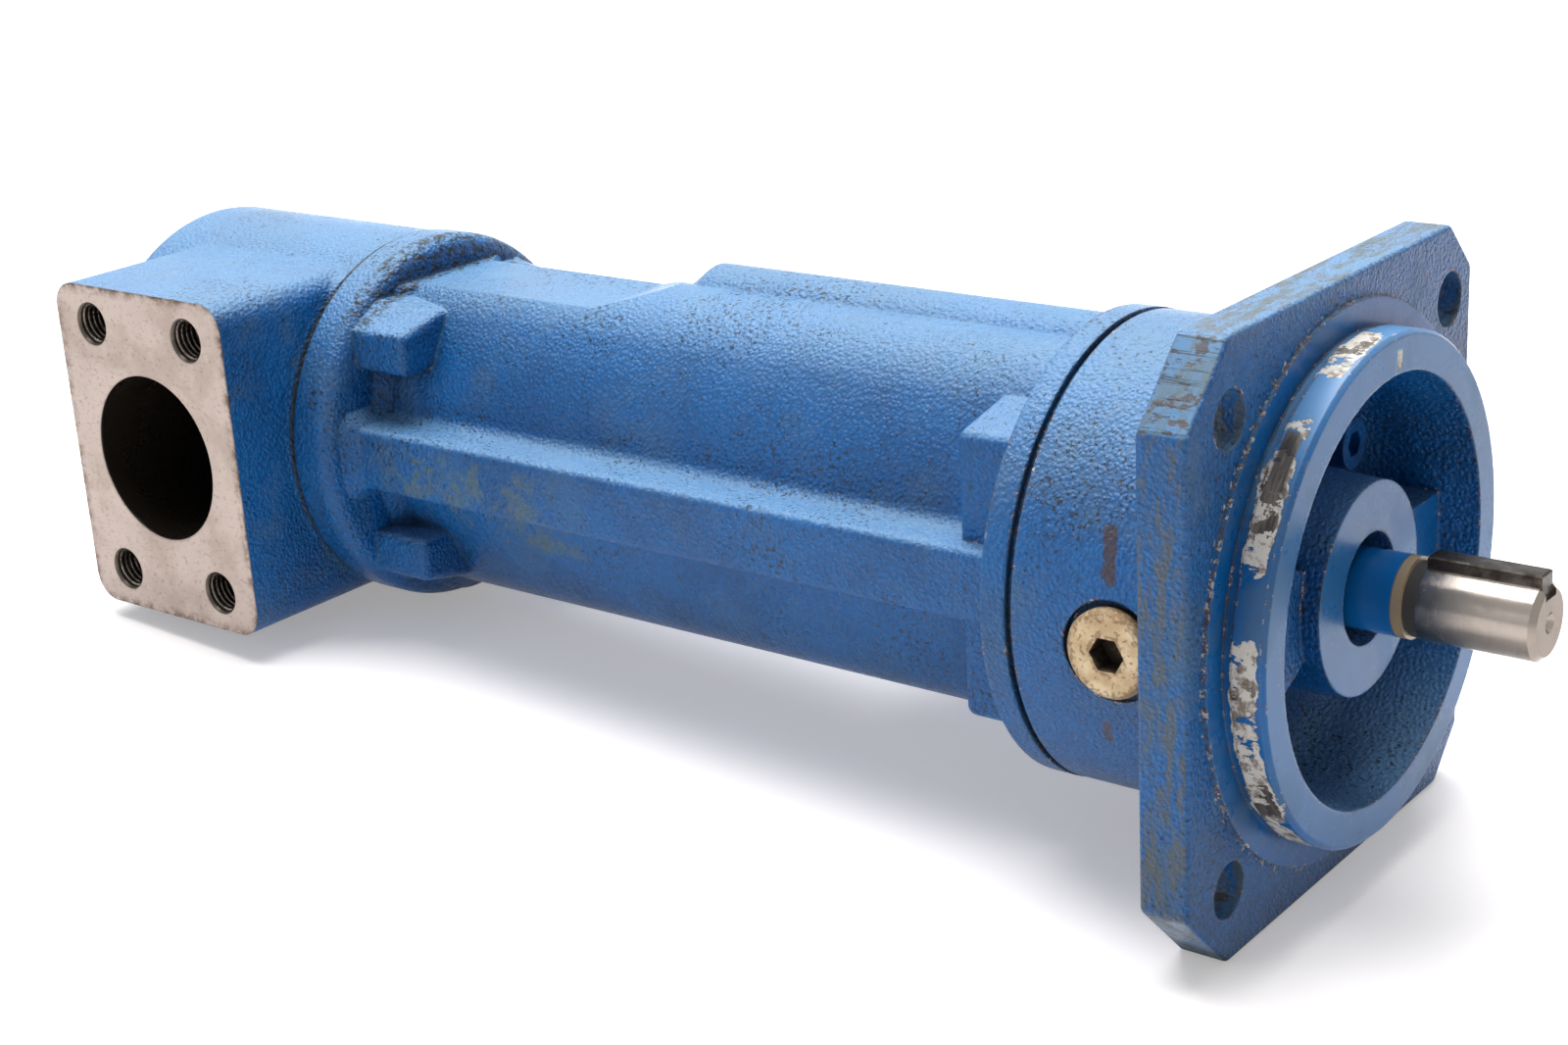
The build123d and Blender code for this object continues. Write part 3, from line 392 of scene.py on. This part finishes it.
# %% [markdown]
# The pump body is cast all over; only its joints and its outlet are machined. The upper part of the
# slope in front of the rear joint, where the casting's round flange meets the barrel, is darkened by
# soot and oil together with painted shade.

# %% The pump body's finish
body = Finish("blue_enamel_body")
joint_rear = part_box("pump_body")[0].x
outlet_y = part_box("pump_body")[1].y
outlet_face = body.rise(body.y, outlet_y - 0.0004, outlet_y - 0.0002)
colour, gloss, height = enamel(body, outlet_face)

# the upper part of the rear flange's slope is darkened: soot and painted shade together
flange_slope = body.band(body.x, joint_rear + 0.0075, joint_rear + 0.0175, 0.003)
high_up = body.rise(body.z, 0.03, 0.044)
soot_and_shade = body.rise(body.noise(body.place_on_piece, 0.0022, 6.0, 0.72), 0.45, 0.58)
colour = body.coat(colour, paint(18, 28, 22), body.both(flange_slope, high_up, soot_and_shade), 0.9)

old_oil = body.noise(body.place_on_piece, 0.008, 6.0, 0.7)
oily_rib = body.both(
    body.band(body.x, -0.287, -0.225, 0.012),
    body.rise(body.face_y, -0.7, -0.9),
    body.band(body.z, -0.026, 0.004, 0.003),
    body.rise(old_oil, 0.46, 0.62, 0.0, 0.55),
)
colour = body.blend(oily_rib, colour, paint(88, 104, 88))
# a dark line along the rear joint groove: painted shade, with dirt
joint_shade_and_dirt = body.rise(body.x, joint_rear + 0.0014, joint_rear + 0.0008)
colour = body.coat(colour, dark_grime_and_shade, joint_shade_and_dirt, 0.95)
body.set(Base_Color=body.blend(outlet_face, colour, iron_bare), Roughness=gloss, Metallic=outlet_face)
body.relief(height, cast_relief, rounded(body, 0.0018))
dress(body, "pump_body")

# %% [markdown]
# The rear cover carries the suction port. Its face was milled and left bare, so it shows grey iron
# with a brown tarnish that creeps in from the edges. The bore behind it is coloured near black as
# painted shade, and the tapped holes are bare metal.

# %% The rear cover's finish
rear = Finish("blue_enamel_rear_cover")
inlet_x, inlet_face = -0.3483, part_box("rear_cover")[0].y
tap_x, tap_z = 0.02144, 0.038885
where = rear.place_on_piece
bare = rear.rise(rear.y, inlet_face + 0.0004, inlet_face + 0.0002)
port_x = rear.math("SUBTRACT", rear.x, inlet_x)
port_off_x = rear.math("ABSOLUTE", port_x)
port_off_z = rear.math("ABSOLUTE", rear.z)
from_port = rear.from_axis(port_x, rear.z)
from_tap = rear.from_axis(
    rear.math("SUBTRACT", port_off_x, tap_x), rear.math("SUBTRACT", port_off_z, tap_z)
)
behind_face = rear.rise(rear.y, inlet_face + 0.0001, inlet_face + 0.0002)
ahead_of_axis = rear.rise(rear.y, 0.03, 0.028)
bore_wall = rear.both(rear.rise(from_port, 0.0259, 0.0256), behind_face, ahead_of_axis)
tap_wall = rear.both(rear.rise(from_tap, 0.0071, 0.0069), behind_face, ahead_of_axis)
colour, gloss, height = enamel(rear, rear.either(bare, bore_wall, tap_wall), dust=0.3)
# a dark line along the rear joint groove: painted shade, with dirt
joint_shade_and_dirt = rear.both(
    rear.rise(rear.x, joint_rear - 0.0014, joint_rear - 0.0008),
    rear.rise(rear.from_axis(rear.y, rear.z), 0.0525, 0.053),
)
colour = rear.coat(colour, dark_grime_and_shade, joint_shade_and_dirt, 0.95)

tarnish = rear.rise(rear.noise(where, 0.02, 5.0, 0.6), 0.42, 0.66, 0.0, 0.55)
specks = rear.rise(rear.noise(where, 0.0014, 4.0, 0.65), 0.55, 0.68, 0.0, 0.5)
tool_lines = rear.noise(rear.stretch(where, (260.0, 1.0, 2600.0)), 1.0, 2.0)
scores = rear.rise(tool_lines, 0.6, 0.72, 0.0, 0.35)
border = rear.either(rear.rise(port_off_x, 0.0335, 0.0376), rear.rise(port_off_z, 0.047, 0.0512))
ragged = rear.rise(rear.noise(where, 0.0032, 6.0, 0.7), 0.4, 0.62)
milled = rear.blend(tarnish, paint(184, 170, 162), paint(150, 134, 122))
milled = rear.blend(rear.either(specks, scores), milled, paint(112, 96, 84))
milled = rear.blend(rear.both(border, ragged), milled, paint(96, 74, 58))
colour = rear.blend(bare, colour, milled)
# the bore's wall near black: painted shade inside the port
colour = rear.blend(bore_wall, colour, paint(30, 26, 22))
colour = rear.blend(tap_wall, colour, paint(84, 78, 72))
rear.set(Base_Color=colour, Metallic=rear.either(rear.math("MULTIPLY", bare, 0.3), tap_wall))
rear.set(Roughness=rear.math("MULTIPLY_ADD", bare, 0.2, gloss))
rear.relief(height, cast_relief, rounded(rear, 0.0016))
dress(rear, "rear_cover")

# %% [markdown]
# The front cover was turned on its pilot, seat and hub, then painted over: those faces are smooth
# and paler. The corners of its flange were ground flat by hand, which left fine lines across the
# edge. The pilot's outside rubbed in its bracket, so its enamel has flaked to white primer and on
# to dark steel.

# %% The front cover's finish
cover = Finish("blue_enamel_front_cover")
where = cover.place_on_piece
radius = cover.from_axis(cover.y, cover.z)
facing_motor = cover.rise(cover.face_x, 0.9, 0.97)
turned_faces = cover.both(facing_motor, cover.rise(cover.x, 0.004, 0.0045))
seat_face = cover.both(facing_motor, cover.band(cover.x, -0.0004, 0.0004, 0.0001))
pilot_side = cover.both(
    cover.rise(radius, 0.0612, 0.0615),
    cover.rise(cover.x, 0.0002, 0.0006),
    cover.math("SUBTRACT", 1.0, facing_motor),
)
slant = cover.math("ABSOLUTE", cover.math("MULTIPLY", cover.face_y, cover.face_z))
ground_corner = cover.both(cover.rise(slant, 0.4, 0.46), cover.rise(radius, 0.078, 0.08))
smooth = cover.either(turned_faces, pilot_side, seat_face, ground_corner)
recess_r, pilot_ring_r = 0.052, 0.056
# dust, and the strength of the painted shade and grime in corners, both weaker inside the recess
dust = cover.rise(radius, recess_r, pilot_ring_r, 0.04, 0.32)
shade_and_grime_strength = cover.rise(radius, recess_r, pilot_ring_r, 0.25, 0.75)
colour, gloss, height = enamel(cover, smooth, dust=dust, wear=0.12, shade_and_grime_strength=shade_and_grime_strength)

# the flange's edge, filmed with oil
flange_edge = cover.both(
    cover.rise(radius, 0.069, 0.07),
    cover.rise(cover.face_x, 0.6, 0.4),
    cover.rise(cover.x, -0.0006, -0.001),
)
old_oil = cover.noise(cover.stretch(where, (2.0, 0.5, 0.5)), 0.005, 6.0, 0.68)
oil_film = cover.both(flange_edge, cover.rise(old_oil, 0.42, 0.6, 0.0, 0.75))
colour = cover.blend(oil_film, colour, paint(84, 88, 78))
colour = cover.coat(colour, paint(104, 142, 164), ground_corner, 0.22)

# two marks beside the filling plug
brown_smear = smear(cover, (-0.0325, -0.0541, 0.0254), (-0.0309, -0.0579, 0.015), 0.0019)
run_mark = smear(cover, (-0.0336, -0.0552, -0.0231), (-0.0345, -0.0535, -0.0275), 0.0016)
colour = cover.coat(colour, paint(62, 46, 36), brown_smear, 0.85)
colour = cover.coat(colour, paint(70, 60, 52), run_mark, 0.7)

# fine lines and dark blotches on the ground corners
grinding = cover.noise(cover.stretch(where, (40.0, 1300.0, 1300.0)), 1.0, 4.0, 0.7)
scoured = cover.both(ground_corner, cover.rise(grinding, 0.55, 0.62))
colour = cover.coat(colour, paint(34, 48, 56), scoured, 0.7)
clusters = cover.rise(cover.noise(where, 0.011, 3.0, 0.6), 0.4, 0.68, 0.0, 0.12)
crumbs = cover.noise(cover.stretch(where, (0.5, 1.0, 1.0)), 0.002, 5.0, 0.7)
blotches = cover.rise(cover.math("ADD", crumbs, clusters), 0.58, 0.63)
blotch_colour = cover.blend(cover.rise(grinding, 0.4, 0.6), paint(84, 68, 56), paint(42, 38, 36))
colour = cover.coat(colour, blotch_colour, cover.both(ground_corner, blotches), 0.85)

# flakes on the pilot's outside, by their angle round the axis in radians: start, end, softness
full_turn = 2 * math.pi
around = cover.math("ARCTAN2", cover.z, cover.y)
around = cover.math("MODULO", cover.math("ADD", around, full_turn), full_turn)
rubs = [(1.48, 1.9, 0.12), (2.08, 2.75, 0.15), (2.92, 4.24, 0.15)]
rubbed = cover.either(*[cover.band(around, *rub) for rub in rubs])
across = cover.band(cover.x, 0.0002, 0.0078, 0.0022)
flake = cover.noise(cover.stretch(where, (0.6, 1.0, 1.0)), 0.011, 7.0, 0.66)
flake = cover.math("MULTIPLY_ADD", cover.both(rubbed, across), 0.23, flake)
flaked = cover.both(pilot_side, cover.rise(flake, 0.66, 0.668))
streaks = cover.noise(cover.stretch(where, (900.0, 120.0, 120.0)), 1.0, 3.0, 0.6)
bare_level = cover.math("MULTIPLY_ADD", streaks, 0.16, flake)
worn_smooth = cover.both(
    pilot_side,
    cover.band(around, 2.2, 2.46, 0.04),
    cover.band(cover.x, 0.0028, 0.0072, 0.0008),
    cover.rise(flake, 0.44, 0.48),
)
steel_shows = cover.either(cover.both(pilot_side, cover.rise(bare_level, 0.84, 0.855)), worn_smooth)
rim_chips = cover.both(
    cover.band(radius, 0.0683, 0.0703, 0.0004),
    cover.band(around, 1.5, 4.4, 0.4),
    cover.rise(cover.noise(where, 0.0021, 4.0, 0.7), 0.57, 0.6),
)

# one chip and one scratch on the pilot's face
pilot_face = cover.both(turned_faces, cover.rise(radius, 0.053, 0.0532))
face_chip = cover.both(
    pilot_face, cover.band(around, 1.485, 1.53, 0.012), cover.band(radius, 0.0534, 0.0578, 0.0012)
)
scratch = cover.both(
    pilot_face,
    cover.band(around, 4.38, 4.52, 0.01),
    cover.band(radius, 0.0584, 0.0588, 0.0004),
    cover.rise(cover.noise(where, 0.002, 3.0), 0.42, 0.5),
)
colour = cover.coat(colour, enamel_worn, turned_faces, 0.25)
colour = cover.blend(scratch, colour, enamel_deep)
primer = cover.either(flaked, rim_chips, face_chip)
patchy = cover.rise(cover.noise(where, 0.003, 5.0, 0.7), 0.4, 0.52)
colour = cover.blend(primer, colour, cover.blend(patchy, paint(128, 116, 104), primer_white))
steel = cover.blend(cover.rise(streaks, 0.35, 0.65), paint(74, 70, 68), paint(112, 105, 98))
colour = cover.blend(steel_shows, colour, steel)
cover.set(Base_Color=colour, Metallic=cover.math("MULTIPLY", steel_shows, 0.8))
cover.set(Roughness=cover.math("MULTIPLY_ADD", primer, 0.2, gloss))
height = cover.math("MULTIPLY_ADD", scoured, -0.12, height)
height = cover.math("MULTIPLY_ADD", primer, -0.25, height)
cover.relief(height, cast_relief, rounded(cover, 0.001))
dress(cover, "front_cover")

# %% [markdown]
# The drive shaft is ground steel. Inside the hub it was sprayed blue with the casting; the undercut
# behind the keyed end kept its dark oil.

# %% Shaft, key and screws
shaft = Finish("ground_shaft_steel")
paint_end, undercut_start, undercut_end = 0.0155, 0.018, 0.0213
marks = shaft.group(turned_marks, Vector=shaft.place_on_piece)["Height"]
stain = shaft.noise(shaft.place_on_piece, 0.006, 5.0, 0.65)
metal = shaft.blend(shaft.rise(stain, 0.5, 0.8, 0.0, 0.4), paint(154, 146, 138), paint(122, 110, 98))
metal = shaft.coat(metal, paint(92, 78, 66), shaft.rise(shaft.face_x, 0.6, 0.9), 0.85)
sprayed = shaft.both(
    shaft.rise(shaft.x, paint_end + 0.0002, paint_end - 0.0003), shaft.rise(shaft.x, -0.006, -0.0055)
)
oily_ring = shaft.band(shaft.x, paint_end, undercut_start, 0.0002)
undercut = shaft.band(shaft.x, undercut_start, undercut_end, 0.0002)
metal = shaft.blend(oily_ring, metal, paint(150, 132, 106))
metal = shaft.blend(undercut, metal, paint(78, 74, 68))
shaft.set(Base_Color=shaft.blend(sprayed, metal, enamel_blue))
dull = shaft.either(sprayed, oily_ring, shaft.math("MULTIPLY", undercut, 0.7))
shaft.set(Metallic=shaft.math("SUBTRACT", 1.0, dull))
shaft.set(Roughness=shaft.rise(stain, 0.3, 0.8, 0.16, 0.3))
shaft.relief(marks, 0.00001)
dress(shaft, "power_rotor", "idler_upper", "idler_lower")


def metal_finish(name, colour, shade, rough, metallic=1.0, grain=0.004):
    """A plain metal or plastic with mottled colour and gloss."""
    finish = Finish(name)
    mottle = finish.noise(finish.place_on_piece, grain, 4.0, 0.6)
    finish.set(Base_Color=finish.blend(finish.rise(mottle, 0.35, 0.7), colour, shade), Metallic=metallic)
    finish.set(Roughness=finish.rise(mottle, 0.3, 0.75, rough * 0.75, rough * 1.25))
    finish.relief(finish.noise(finish.place_on_piece, grain / 8, 3.0), 0.00002)
    return finish


dress(metal_finish("drawn_key_steel", paint(72, 67, 62), paint(40, 36, 33), 0.32), "shaft_key")
dress(metal_finish("blue_painted_screws", enamel_blue, enamel_deep, 0.3, 0.0), "front_cover_screws")
dress(metal_finish("blackened_screws", paint(46, 46, 48), paint(30, 30, 31), 0.42), "rear_cover_screws")
dress(metal_finish("soft_copper", paint(150, 98, 66), paint(104, 68, 48), 0.45), "plug_seal")

# %% [markdown]
# The filling plug is zinc plated and passivated yellow. Years of oil have left brown specks, thick
# round the rim and in the hexagon.

# %% The filling plug
plug = Finish("yellow_zinc_plug")
plug_x, plug_z = -0.0298, -0.0025
from_plug = plug.from_axis(plug.math("SUBTRACT", plug.x, plug_x), plug.math("SUBTRACT", plug.z, plug_z))
rings = plug.either(
    plug.rise(from_plug, 0.0082, 0.0108, 0.0, 0.14), plug.rise(from_plug, 0.0062, 0.0045, 0.0, 0.1)
)
peppered = plug.noise(plug.place_on_piece, 0.0012, 5.0, 0.72)
specks = plug.rise(plug.math("ADD", peppered, rings), 0.54, 0.66)
film = plug.noise(plug.place_on_piece, 0.006, 3.0)
zinc = plug.blend(plug.rise(film, 0.35, 0.65), paint(204, 184, 148), paint(178, 152, 114))
zinc = plug.coat(zinc, paint(122, 90, 56), specks, 0.7)
# the plug's hollows, found by ambient occlusion, turn dark brown: painted shade, with grime
shade_and_grime_in_hollows = plug.group(corner_shade_and_grime, Vector=plug.place_on_piece)["Mask"]
plug.set(Base_Color=plug.blend(shade_and_grime_in_hollows, zinc, paint(46, 36, 28)), Metallic=0.25)
plug.set(Roughness=plug.rise(film, 0.3, 0.7, 0.36, 0.5))
plug.relief(specks, 0.0001)
dress(plug, "side_plug")

# %% [markdown]
# Eight holes are tapped for the pipe flanges. A thread is one turn repeated, so Geometry Nodes
# makes a single turn, stacks it along the hole, and sets the stack in all four places of a port.

# %% Threads in the tapped holes


def thread_nodes():
    """One port's threads: a turn of a spiral ridge, stacked down each of four holes."""
    tree = bpy.data.node_groups.new("tapped_threads", "GeometryNodeTree")
    tree.is_modifier = True
    tree.interface.new_socket("Geometry", in_out="OUTPUT", socket_type="NodeSocketGeometry")
    wants = (
        ("Spacing Along", "Float", 0.04), ("Spacing Up", "Float", 0.08),
        ("Hole Radius", "Float", 0.006), ("Pitch", "Float", 0.00175), ("Turns", "Int", 11),
        ("Mouth", "Vector", (0.0, 0.0, 0.0)), ("Inward", "Vector", (0.0, 1.0, 0.0)),
        ("Metal", "Material", None),
    )
    for label, kind, value in wants:
        socket = tree.interface.new_socket(label, in_out="INPUT", socket_type="NodeSocket" + kind)
        if value is not None:
            socket.default_value = value
    given = tree.nodes.new("NodeGroupInput").outputs
    result = tree.nodes.new("NodeGroupOutput").inputs["Geometry"]

    def add(kind, **settings):
        node = tree.nodes.new(kind)
        for name, value in settings.items():
            setattr(node, name, value)
        return node

    def link(value, socket):
        tree.links.new(value, socket)

    def times(value, factor):
        node = add("ShaderNodeMath", operation="MULTIPLY")
        link(value, node.inputs[0])
        if isinstance(factor, bpy.types.NodeSocket):
            link(factor, node.inputs[1])
        else:
            node.inputs[1].default_value = factor
        return node.outputs[0]

    turn_of_ridge = add("GeometryNodeCurveSpiral")
    turn_of_ridge.inputs["Resolution"].default_value = 20
    turn_of_ridge.inputs["Rotations"].default_value = 1.0
    link(given["Hole Radius"], turn_of_ridge.inputs["Start Radius"])
    link(given["Hole Radius"], turn_of_ridge.inputs["End Radius"])
    link(given["Pitch"], turn_of_ridge.inputs["Height"])
    upright = add("GeometryNodeSetCurveNormal", mode="Z_UP")
    link(turn_of_ridge.outputs["Curve"], upright.inputs["Curve"])
    profile = add("GeometryNodeCurvePrimitiveCircle")
    profile.inputs["Resolution"].default_value = 3
    link(times(given["Pitch"], 0.56), profile.inputs["Radius"])
    ridge = add("GeometryNodeCurveToMesh")
    link(upright.outputs["Curve"], ridge.inputs["Curve"])
    link(profile.outputs["Curve"], ridge.inputs["Profile Curve"])
    ridge.inputs["Fill Caps"].default_value = True
    stack = add("GeometryNodeMeshLine")
    link(given["Turns"], stack.inputs["Count"])
    step = add("ShaderNodeCombineXYZ")
    link(given["Pitch"], step.inputs["Z"])
    link(step.outputs["Vector"], stack.inputs["Offset"])
    threads = add("GeometryNodeInstanceOnPoints")
    link(stack.outputs["Mesh"], threads.inputs["Points"])
    link(ridge.outputs["Mesh"], threads.inputs["Instance"])
    lay = add("FunctionNodeAlignRotationToVector", axis="Z")
    link(given["Inward"], lay.inputs["Vector"])
    places = add("GeometryNodeMeshGrid")
    places.inputs["Vertices X"].default_value = 2
    places.inputs["Vertices Y"].default_value = 2
    link(given["Spacing Along"], places.inputs["Size X"])
    link(given["Spacing Up"], places.inputs["Size Y"])
    stand = add("GeometryNodeTransform")
    stand.inputs["Rotation"].default_value = (math.radians(90), 0.0, 0.0)
    link(places.outputs["Mesh"], stand.inputs["Geometry"])
    link(given["Mouth"], stand.inputs["Translation"])
    holes = add("GeometryNodeInstanceOnPoints")
    link(stand.outputs["Geometry"], holes.inputs["Points"])
    link(threads.outputs["Instances"], holes.inputs["Instance"])
    link(lay.outputs["Rotation"], holes.inputs["Rotation"])
    solid = add("GeometryNodeRealizeInstances")
    link(holes.outputs["Instances"], solid.inputs["Geometry"])
    metal = add("GeometryNodeSetMaterial")
    link(solid.outputs["Geometry"], metal.inputs["Geometry"])
    link(given["Metal"], metal.inputs["Material"])
    link(metal.outputs["Geometry"], result)
    return tree


cut_metal = metal_finish(
    "cut_thread_metal", paint(128, 120, 112), paint(70, 62, 56), 0.35, grain=0.002
).material
threads_tree = thread_nodes()


def cut_threads(name, **wanted):
    """Evaluate the thread nodes once and keep the plain mesh, riding on the housing."""
    holder = bpy.data.objects.new(name, bpy.data.meshes.new(name))
    bpy.context.scene.collection.objects.link(holder)
    maker = holder.modifiers.new("threads", "NODES")
    maker.node_group = threads_tree
    sockets = {
        item.name: item.identifier
        for item in threads_tree.interface.items_tree if item.in_out == "INPUT"
    }
    for label, value in wanted.items():
        maker[sockets[label.replace("_", " ")]] = value
    maker[sockets["Metal"]] = cut_metal
    ready = holder.evaluated_get(bpy.context.evaluated_depsgraph_get())
    mesh = bpy.data.meshes.new_from_object(ready)
    mesh.name = name
    holder.modifiers.remove(maker)
    holder.data = mesh
    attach(holder, "housing")
    print(name, len(mesh.polygons), "faces")


cut_threads("suction_port_threads", Spacing_Along=2 * tap_x, Spacing_Up=2 * tap_z, Hole_Radius=0.0061,
            Pitch=0.00175, Turns=11, Mouth=(inlet_x, inlet_face + 0.0013, 0.0), Inward=(0.0, 1.0, 0.0))
cut_threads("outlet_port_threads", Spacing_Along=0.0587, Spacing_Up=0.0302, Hole_Radius=0.0051,
            Pitch=0.0015, Turns=12, Mouth=(-0.11655, outlet_y - 0.0013, 0.0), Inward=(0.0, -1.0, 0.0))

# %% [markdown]
# Inside, out of sight until the pump is opened, each piece still has the finish of its trade.

# %% Bearing, bushes and seal
dress(metal_finish("bearing_steel", paint(190, 190, 190), paint(160, 160, 162), 0.18),
      "bearing_outer_ring", "bearing_inner_ring", "bearing_balls")
dress(metal_finish("cage_brass", paint(196, 160, 92), paint(160, 124, 66), 0.35), "bearing_cage")
dress(metal_finish("bush_bronze", paint(176, 130, 76), paint(140, 98, 56), 0.35),
      "balance_bush", "rotor_bush", "idler_bushes")
dress(metal_finish("plate_iron", paint(120, 118, 116), paint(92, 90, 88), 0.4), "thrust_plate")
dress(metal_finish("spring_steel", paint(140, 140, 144), paint(96, 96, 100), 0.3),
      "bearing_circlip", "shaft_circlip", "seal_retainer", "seal_spring")
dress(metal_finish("seal_carbon", paint(40, 40, 42), paint(26, 26, 28), 0.4, 0.0), "seal_ring")
dress(metal_finish("seal_ceramic", paint(226, 220, 206), paint(208, 200, 184), 0.2, 0.0), "seal_seat")
dress(metal_finish("black_rubber", paint(30, 30, 30), paint(20, 20, 20), 0.6, 0.0),
      "front_o_ring", "rear_o_ring", "seat_o_ring", "seal_bellows")

# %% [markdown]
# The pump lies on the lower edge of its flange and on the rear cover, so the floor slopes a little
# in the pump's own frame. The plane through those two lines is the floor.

# %% Floor
flange_low = Vector((-0.0138, 0.0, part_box("front_cover")[0].z))
cover_low = Vector((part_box("rear_cover")[0].x + 0.003, 0.0, -0.0553))
along = (flange_low - cover_low).normalized()
floor_up = along.cross(Vector((0, 1, 0))).normalized()
floor_up = floor_up if floor_up.z > 0 else -floor_up
floor_mesh = bpy.data.meshes.new("floor")
reach = 6.0
across = Vector((0, 1, 0))
ways = ((-1, -1), (1, -1), (1, 1), (-1, 1))
floor_corners = [flange_low + along * reach * a + across * reach * b for a, b in ways]
floor_mesh.from_pydata(floor_corners, [], [(0, 1, 2, 3)])
floor = bpy.data.objects.new("floor", floor_mesh)
bpy.context.scene.collection.objects.link(floor)
floor_finish = Finish("pale_floor")
floor_finish.set(Base_Color=(0.9, 0.865, 0.86, 1.0), Roughness=0.75)
rays = floor_finish.place("LightPath").outputs
seen = floor_finish.either(rays["Is Camera Ray"], rays["Is Glossy Ray"], rays["Is Transmission Ray"])
far_off = floor_finish.rise(floor_finish.from_axis(floor_finish.x, floor_finish.y), 0.7, 1.8, 0.32, 1.0)
floor_finish.set(Emission_Color=(1.0, 0.985, 0.975, 1.0))
floor_finish.set(Emission_Strength=floor_finish.math("MULTIPLY", seen, far_off))
floor_mesh.materials.append(floor_finish.material)
print("floor slope, degrees:", round(math.degrees(floor_up.angle(Vector((0, 0, 1)))), 2))

# %% [markdown]
# Soft studio light: a pale world, one wide lamp above and behind the pump's left, and a weaker one
# in front. Where the camera looks past everything it sees white, and far from the pump the floor
# glows up to the same white, so that no horizon shows.

# %% Lights


def softbox(name, position, aim, size, power):
    lamp = bpy.data.lights.new(name, "AREA")
    lamp.shape = "SQUARE"
    lamp.size = size
    lamp.energy = power
    holder = bpy.data.objects.new(name, lamp)
    holder.location = position
    holder.rotation_euler = (Vector(aim) - Vector(position)).to_track_quat("-Z", "Y").to_euler()
    bpy.context.scene.collection.objects.link(holder)


middle = (-0.17, 0.0, 0.0)
softbox("sky_panel", (-0.45, 0.25, 1.5), middle, 1.5, 58.0)
softbox("front_panel", (-1.1, -1.5, 0.6), middle, 0.7, 3.5)
world = bpy.data.worlds.new("studio")
world.use_nodes = True
bpy.context.scene.world = world
sky = Bench(world.node_tree)
rays = sky.place("LightPath").outputs
seen = sky.either(rays["Is Camera Ray"], rays["Is Glossy Ray"], rays["Is Transmission Ray"])
backdrop = world.node_tree.nodes["Background"]
backdrop.inputs["Color"].default_value = (1.0, 1.0, 1.0, 1.0)
sky.wire(backdrop.inputs["Strength"], sky.rise(seen, 0.0, 1.0, 0.28, 1.0))
print("lights:", len(bpy.data.lights))

# %% [markdown]
# The camera stands in front of the flange, a little to the side and above.

# %% Camera
lens = bpy.data.cameras.new("portrait")
lens.sensor_width = 36.0
lens.lens = 58.395
camera = bpy.data.objects.new("portrait", lens)
right = Vector((0.79023, 0.61027, -0.05577)).normalized()
backward = Vector((0.59128, -0.73540, 0.33102)).normalized()
upward = backward.cross(right).normalized()
right = upward.cross(backward)
turn = Matrix((right, upward, backward)).transposed().to_4x4()
camera.matrix_world = Matrix.Translation((0.250404, -0.524192, 0.222389)) @ turn
bpy.context.scene.collection.objects.link(camera)
bpy.context.scene.camera = camera
bpy.context.scene.view_settings.view_transform = "Standard"
print("camera at", [round(value, 3) for value in camera.matrix_world.translation])
